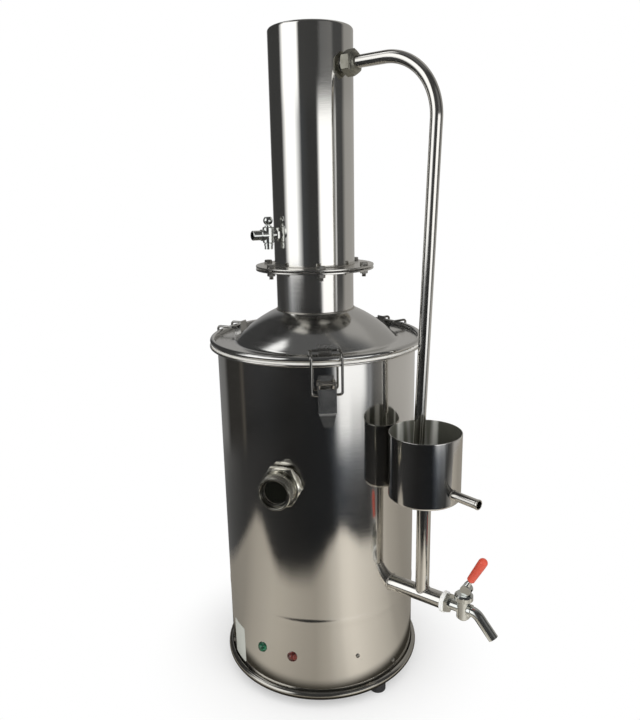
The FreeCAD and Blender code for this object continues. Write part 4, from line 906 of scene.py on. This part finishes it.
cup_mouth, cup_inside, cup_floor = 8.1, cup_radius - 1, cup_low + 1
cup_outline = rounded([(cup_mouth, cup_low), (cup_radius, cup_low, 2.6), (cup_radius, cup_high, 0.45),
                       (cup_inside, cup_high, 0.45), (cup_inside, cup_floor, 1.8), (cup_mouth, cup_floor)], 9)
cup = facing(moved(lathe(cup_outline, 192), cup_axis), feed_azimuth)
fitted("cup", [cup], cup_material(), ["feed_cup"])
overflow_level, nozzle_swing = 283.0, -6.0
nozzle_start, nozzle_end = 199.2, 234.4
nozzle_bore, nozzle_radius, nozzle_lip = 4.4, 5.3, 5.65
nozzle = lathe(rounded([(nozzle_bore, nozzle_start, 0.2), (nozzle_radius, nozzle_start, 0.2),
                        (nozzle_radius, 231.6, 0.6), (nozzle_lip, 232.6, 0.5),
                        (nozzle_lip, nozzle_end, 0.5), (nozzle_bore, nozzle_end, 0.3)]), 72)
fitted("overflow", [swung(lying(nozzle, overflow_level), nozzle_swing)], tube_steel,
       ["overflow_nozzle"])
nozzle_bead = weld_bead(nozzle_radius + 0.1, cup_radius, 0.6, overflow_level, (cup_axis, 0.0))
seat_bead = moved(ring_bead(stand_radius + 0.3, cup_low - 0.1, 0.8, 27, 96), cup_axis)
cup_beads = [swung(nozzle_bead, nozzle_swing), facing(seat_bead, feed_azimuth)]
fitted("cup_welds", cup_beads, weld_metal)


# -------------------- drain tap
# A small plated tap, screwed into the drain pipe against a nylon washer. Its lever is a
# cam forked over the stem; the handle is dipped in red vinyl.
def plated_material(name, colour, roughness):
    """Plating over turned brass: bright, with fine turning marks and slight yellowing."""
    return mottled(name, colour, roughness, (120, 4), (colour, toned(colour, (0.958, 0.916, 0.846))),
                   (roughness * 0.5, roughness * 1.7), (700, 2, 0.00003), metallic=1.0)


tap_metal = plated_material("plated_brass", (0.66, 0.69, 0.69), 0.13)
white_nylon = mottled("white_nylon", (0.80, 0.80, 0.77), 0.35, (130, 3),
                      ((0.74, 0.74, 0.70), (0.86, 0.86, 0.84)),
                      even={"Subsurface Weight": 0.2, "Subsurface Radius": (0.003, 0.003, 0.0025)})
red_vinyl = mottled("red_vinyl", (0.62, 0.07, 0.035), 0.38, (90, 4),
                    ((0.50, 0.045, 0.025), (0.70, 0.10, 0.05)), (0.3, 0.5), (350, 2, 0.00008),
                    even={"Coat Weight": 0.25, "Coat Roughness": 0.2})
finished(tap_metal, "tap_body", "tap_bonnet", "tap_stem", "tap_lever", "lever_pin", "heater_fittings")
finished(rubber, "tap_seal")
finished(white_nylon, "tap_washer")
finished(red_vinyl, "lever_grip")


# -------------------- lid
# A spun lid on a silicone ring: a low dome in a flat brim with a wired edge. The neck is
# welded into its crown and carries the lower flange.
lid_steel = steel_material("lid_steel", (0.66, 0.66, 0.65), 0.12, 0.0009, spun=260)
lid_under, lid_thickness = 429.5, 1.2
brim_radius, brim_level, wire_radius = 125.3, 430.7, 3.2
neck_radius = 46.0


def spun_lid():
    """The lid's outline turned about Z: a flat brim, a hollow whose height grows with the
    square of the way in, and a dome that bulges 3 mm over its chord as 4 t (1 - t)."""
    share = np.linspace(0, 1, 44)[:, None]
    foot, crown = np.array([[97.0, 432.0]]), np.array([[neck_radius + 0.05, 467.0]])
    slope = unit(crown - foot)
    out = np.array([[slope[0, 1], -slope[0, 0]]])
    dome = foot + (crown - foot) * share + out * 3.0 * 4 * share * (1 - share)
    way_in = np.linspace(0, 1, 10)[:-1]
    brim = np.stack([np.linspace(brim_radius, 101.5, 12), np.full(12, brim_level)], -1)
    cove = np.stack([100.6 - 3.6 * way_in, brim_level + 1.3 * way_in ** 2], -1)
    top = np.concatenate([brim, cove, dome])
    down = np.repeat(np.concatenate([[[0.0, -1.0]], -out]), (len(brim) + len(cove), len(dome)), 0)
    return lathe(np.concatenate([top, (top + lid_thickness * down)[::-1]]), 320)


wired_edge = np.array([brim_radius, lid_under + wire_radius]) + around(circle(24), wire_radius, 0.0)[:, :2]
fitted("lid", [spun_lid(), lathe(wired_edge, 320)], lid_steel, ["lid_dome"])

joint_low, joint_top, flange_radius, flange_thickness = 514.0, 519.5, 70, 2
neck_inside = neck_radius - 1.2
neck_outline = rounded([(neck_inside, 461), (neck_radius, 461), (neck_radius, joint_low, 1.0),
                        (flange_radius, joint_low, 0.4), (flange_radius, joint_low + flange_thickness, 0.4),
                        (neck_inside, joint_low + flange_thickness)], 6)
neck_steel = steel_material("neck_steel", bright_steel, 0.09, 0.0002, (1, 1, 30), 60)
fitted("neck", [lathe(neck_outline, 192)], neck_steel, ["neck_tube"])
fitted("neck_weld", [ring_bead(46.5, 466.9, 0.9, 90)], weld_metal)


# -------------------- bolted flanges
# Two laser-cut rings with a silicone gasket between them, drawn together by six bolts.
flange_bore = 47.55
flange_outline = rounded([(flange_bore, joint_top - flange_thickness),
                          (flange_radius, joint_top - flange_thickness, 0.4),
                          (flange_radius, joint_top, 0.4), (flange_bore, joint_top, 0.2)])
flange_steel = steel_material("flange_steel", (0.64, 0.63, 0.60), 0.2, 0.0, (30, 30, 1), 40)
fitted("upper_flange", [lathe(flange_outline, 192)], flange_steel, ["condenser_flange"])

bolt_circle, bolt_flats = 62.0, 8.0
bolt_places = [6.5 + 60 * i for i in range(6)]
head = hexagon(bolt_flats, joint_top + 0.4, joint_top + 3.5)
washer = hollow(5.0, 2.6, joint_top, joint_top + 0.6, 0.15, 40)
screwed_end = thread(2.5, 0.8, joint_low - 7.5, joint_low, 0.0)
shank = lathe(rounded([(0, joint_low - 0.5), (2.4, joint_low - 0.5), (2.4, joint_top + 0.5),
                       (0, joint_top + 0.5)]), 32)
nut = hexagon(bolt_flats, joint_low - 4, joint_low, 2.5)
bolts, nuts = [], []
for azimuth in bolt_places:
    bolts += [facing(moved(shape, bolt_circle), azimuth) for shape in (head, washer, screwed_end, shank)]
    nuts.append(facing(moved(nut, bolt_circle), azimuth))
fitted("bolts", bolts, zinc, ["flange_bolts"])
fitted("nuts", nuts, zinc, ["flange_nuts"])


# -------------------- toggle latches
# Three pressed latches. A wire bail hooks over a catch on the lid, and the lever on the
# shell pulls it down past centre.
fold_level = 375.0
pressed_sheet = (0.55, 0.55, 0.535)


def lever_material():
    """Pressed sheet with a painted highlight: pale and glossier in a narrow band along the fold."""
    made, shader, here = surface_material("lever_steel_painted_fold_highlight", pressed_sheet, 0.25, 1.0)
    _, _, level = axes(here)
    from_fold = calculate("ABSOLUTE", calculate("MULTIPLY_ADD", level, 1000.0, -fold_level))
    # Painted highlight: pale colour and lower roughness within about 1.5 mm of the fold.
    kept = blend_between(from_fold, 0.5, 1.5)
    smudge = spread(cloudy(here, 90, 4), 0.35, 0.5)
    fill(shader, {"Base Color": mixed_colour(kept, (0.78, 0.77, 0.75), pressed_sheet),
                  "Roughness": calculate("MULTIPLY_ADD", kept, -0.2, smudge)})
    raised(shader, (cloudy(here, 500, 2), 0.00001))
    return made


lever_steel_painted_fold_highlight = lever_material()
wire_steel = steel_material("wire_steel", (0.36, 0.355, 0.34), 0.17)
latch_steel = steel_material("latch_steel", (0.58, 0.575, 0.56), 0.22, 0.0, (1, 1, 1), 90)
finished(latch_steel, "latch_bases", "lid_catches")
for side in ("front", "right", "left"):
    finished(lever_steel_painted_fold_highlight, side + "_latch_lever")
    finished(wire_steel, side + "_latch_bail")


# -------------------- condenser
# A tall tube of polished sheet with one upright seam at the back, welded to the upper
# flange and closed by a domed cap.
mirror_steel = (0.74, 0.735, 0.71)
tower_steel = steel_material("tower_steel", mirror_steel, 0.06, 0.0009, (1, 1, 30), 60)
cap_steel = steel_material("cap_steel", mirror_steel, 0.08, 0.0004, spun=300)
tower_radius, tower_inside = 47.5, 46.3
tower_low, tower_high = 517.5, 772.0


def rolled_tower():
    """The tube's wall turned about Z, with a ridge for its seam at azimuth 180."""
    outer = np.stack([np.full(60, tower_radius), np.linspace(tower_low, tower_high, 60)], -1)
    inner = np.stack([np.full(8, tower_inside), np.linspace(tower_high, tower_low, 8)], -1)
    points, faces = lathe(np.concatenate([outer, inner]), 240)
    angle = np.degrees(np.arctan2(points[:, 0], -points[:, 1]))
    return widened(points, 1 + 0.18 * np.exp(-((np.abs(angle) - 180) / 1.2) ** 2) / tower_radius), faces


crown_radius, crown_foot = 44.5, 776.5
share = np.linspace(0, 1, 14)[1:]
crown_top = np.stack([crown_radius * (1 - share), crown_foot + 1.5 * (1 - (1 - share) ** 2)], -1)
cap_foot, cap_top = tower_high + 0.02, 776.55
knee = rounded([(tower_inside, cap_foot), (tower_radius, cap_foot), (tower_radius, cap_top, 3.0),
                (38, cap_top)], 12)[1:-1]
cap_line = np.concatenate([knee, crown_top, crown_top[::-1] - [0, 1.2],
                           [[crown_radius, crown_foot - 1.2], [tower_inside, 773.5]]])
fitted("tower", [rolled_tower()], tower_steel, ["condenser_shell"])
fitted("tower_cap", [lathe(cap_line, 192)], cap_steel, ["condenser_cap"])
fitted("tower_weld", [ring_bead(47.8, joint_top + 0.1, 0.7, 100)], weld_metal)
finished(tube_steel, "condenser_core", "tower_stubs")


# -------------------- return pipe and union
# One bent tube of polished steel; a brass union nut draws its collar on to the stub.
return_azimuth = 49.3
return_level, return_radius, bend_radius, bend_start = 735.0, 6.5, 62.0, 100.37
collar_bore, collar_radius, collar_foot, collar_front = 6.0, 8.7, 54.3, 56.3
return_lean = math.radians(2.28)


def return_line():
    """The pipe's centre line in its own plane: level to the bend, an arc that turns a
    little past straight down, and a run to 18 mm under the cup's rim."""
    turn = np.linspace(0, math.pi / 2 + return_lean, 48)
    arc = np.stack([bend_start + bend_radius * np.sin(turn),
                    return_level - bend_radius * (1 - np.cos(turn))], -1)
    fall = np.linspace(0, 1, 30)[1:, None] * (arc[-1, 1] - (cup_high - 18))
    run = arc[-1] + fall * np.array([[-math.tan(return_lean), -1.0]])
    level = np.stack([np.linspace(collar_foot, bend_start, 8)[:-1], np.full(7, return_level)], -1)
    flat = np.concatenate([level, arc, run])
    return np.stack([flat[:, 0], np.zeros(len(flat)), flat[:, 1]], -1)


def tube_along(line, outer, inner):
    """A hollow tube along an open line in the XZ plane: out along the line at the outer
    radius and back at the inner one, with its ends slightly rounded."""
    count = len(line)
    ahead = unit(np.gradient(line, axis=0))
    order = np.concatenate([[0], np.arange(count), [count - 1, count - 1], np.arange(count)[::-1]])
    radius = np.concatenate([[outer - 0.25], np.full(count, outer), [outer - 0.25, inner],
                             np.full(count, inner)])
    nudge = np.zeros((len(order), 1))
    nudge[0], nudge[count + 1] = -0.25, 0.25
    centre, ahead = line[order] + ahead[order] * nudge, ahead[order]
    side = np.broadcast_to([0.0, 1.0, 0.0], ahead.shape)
    section = across_line(circle(40), np.cross(ahead, side), side)
    points = centre[:, None] + radius[:, None, None] * section
    return points.reshape(-1, 3), patches(len(order), 40)


pipe = tube_along(return_line(), return_radius, return_radius - 1)
collar = lathe(rounded([(collar_bore, collar_foot), (collar_radius, collar_foot, 0.3),
                        (collar_radius, collar_front, 0.3), (collar_bore, collar_front)]), 48)
fitted("return_tube", [facing(surface, return_azimuth) for surface in (pipe, lying(collar, return_level))],
       tube_steel, ["return_pipe"])
finished(plated_material("union_brass", (0.34, 0.34, 0.30), 0.42), "union_nut")


# -------------------- cooling water cock
# A plated plug cock with a round knob; its nozzle takes the cooling water hose.
finished(tap_metal, "cock_body", "cock_plug", "cock_knob", "cock_nut")
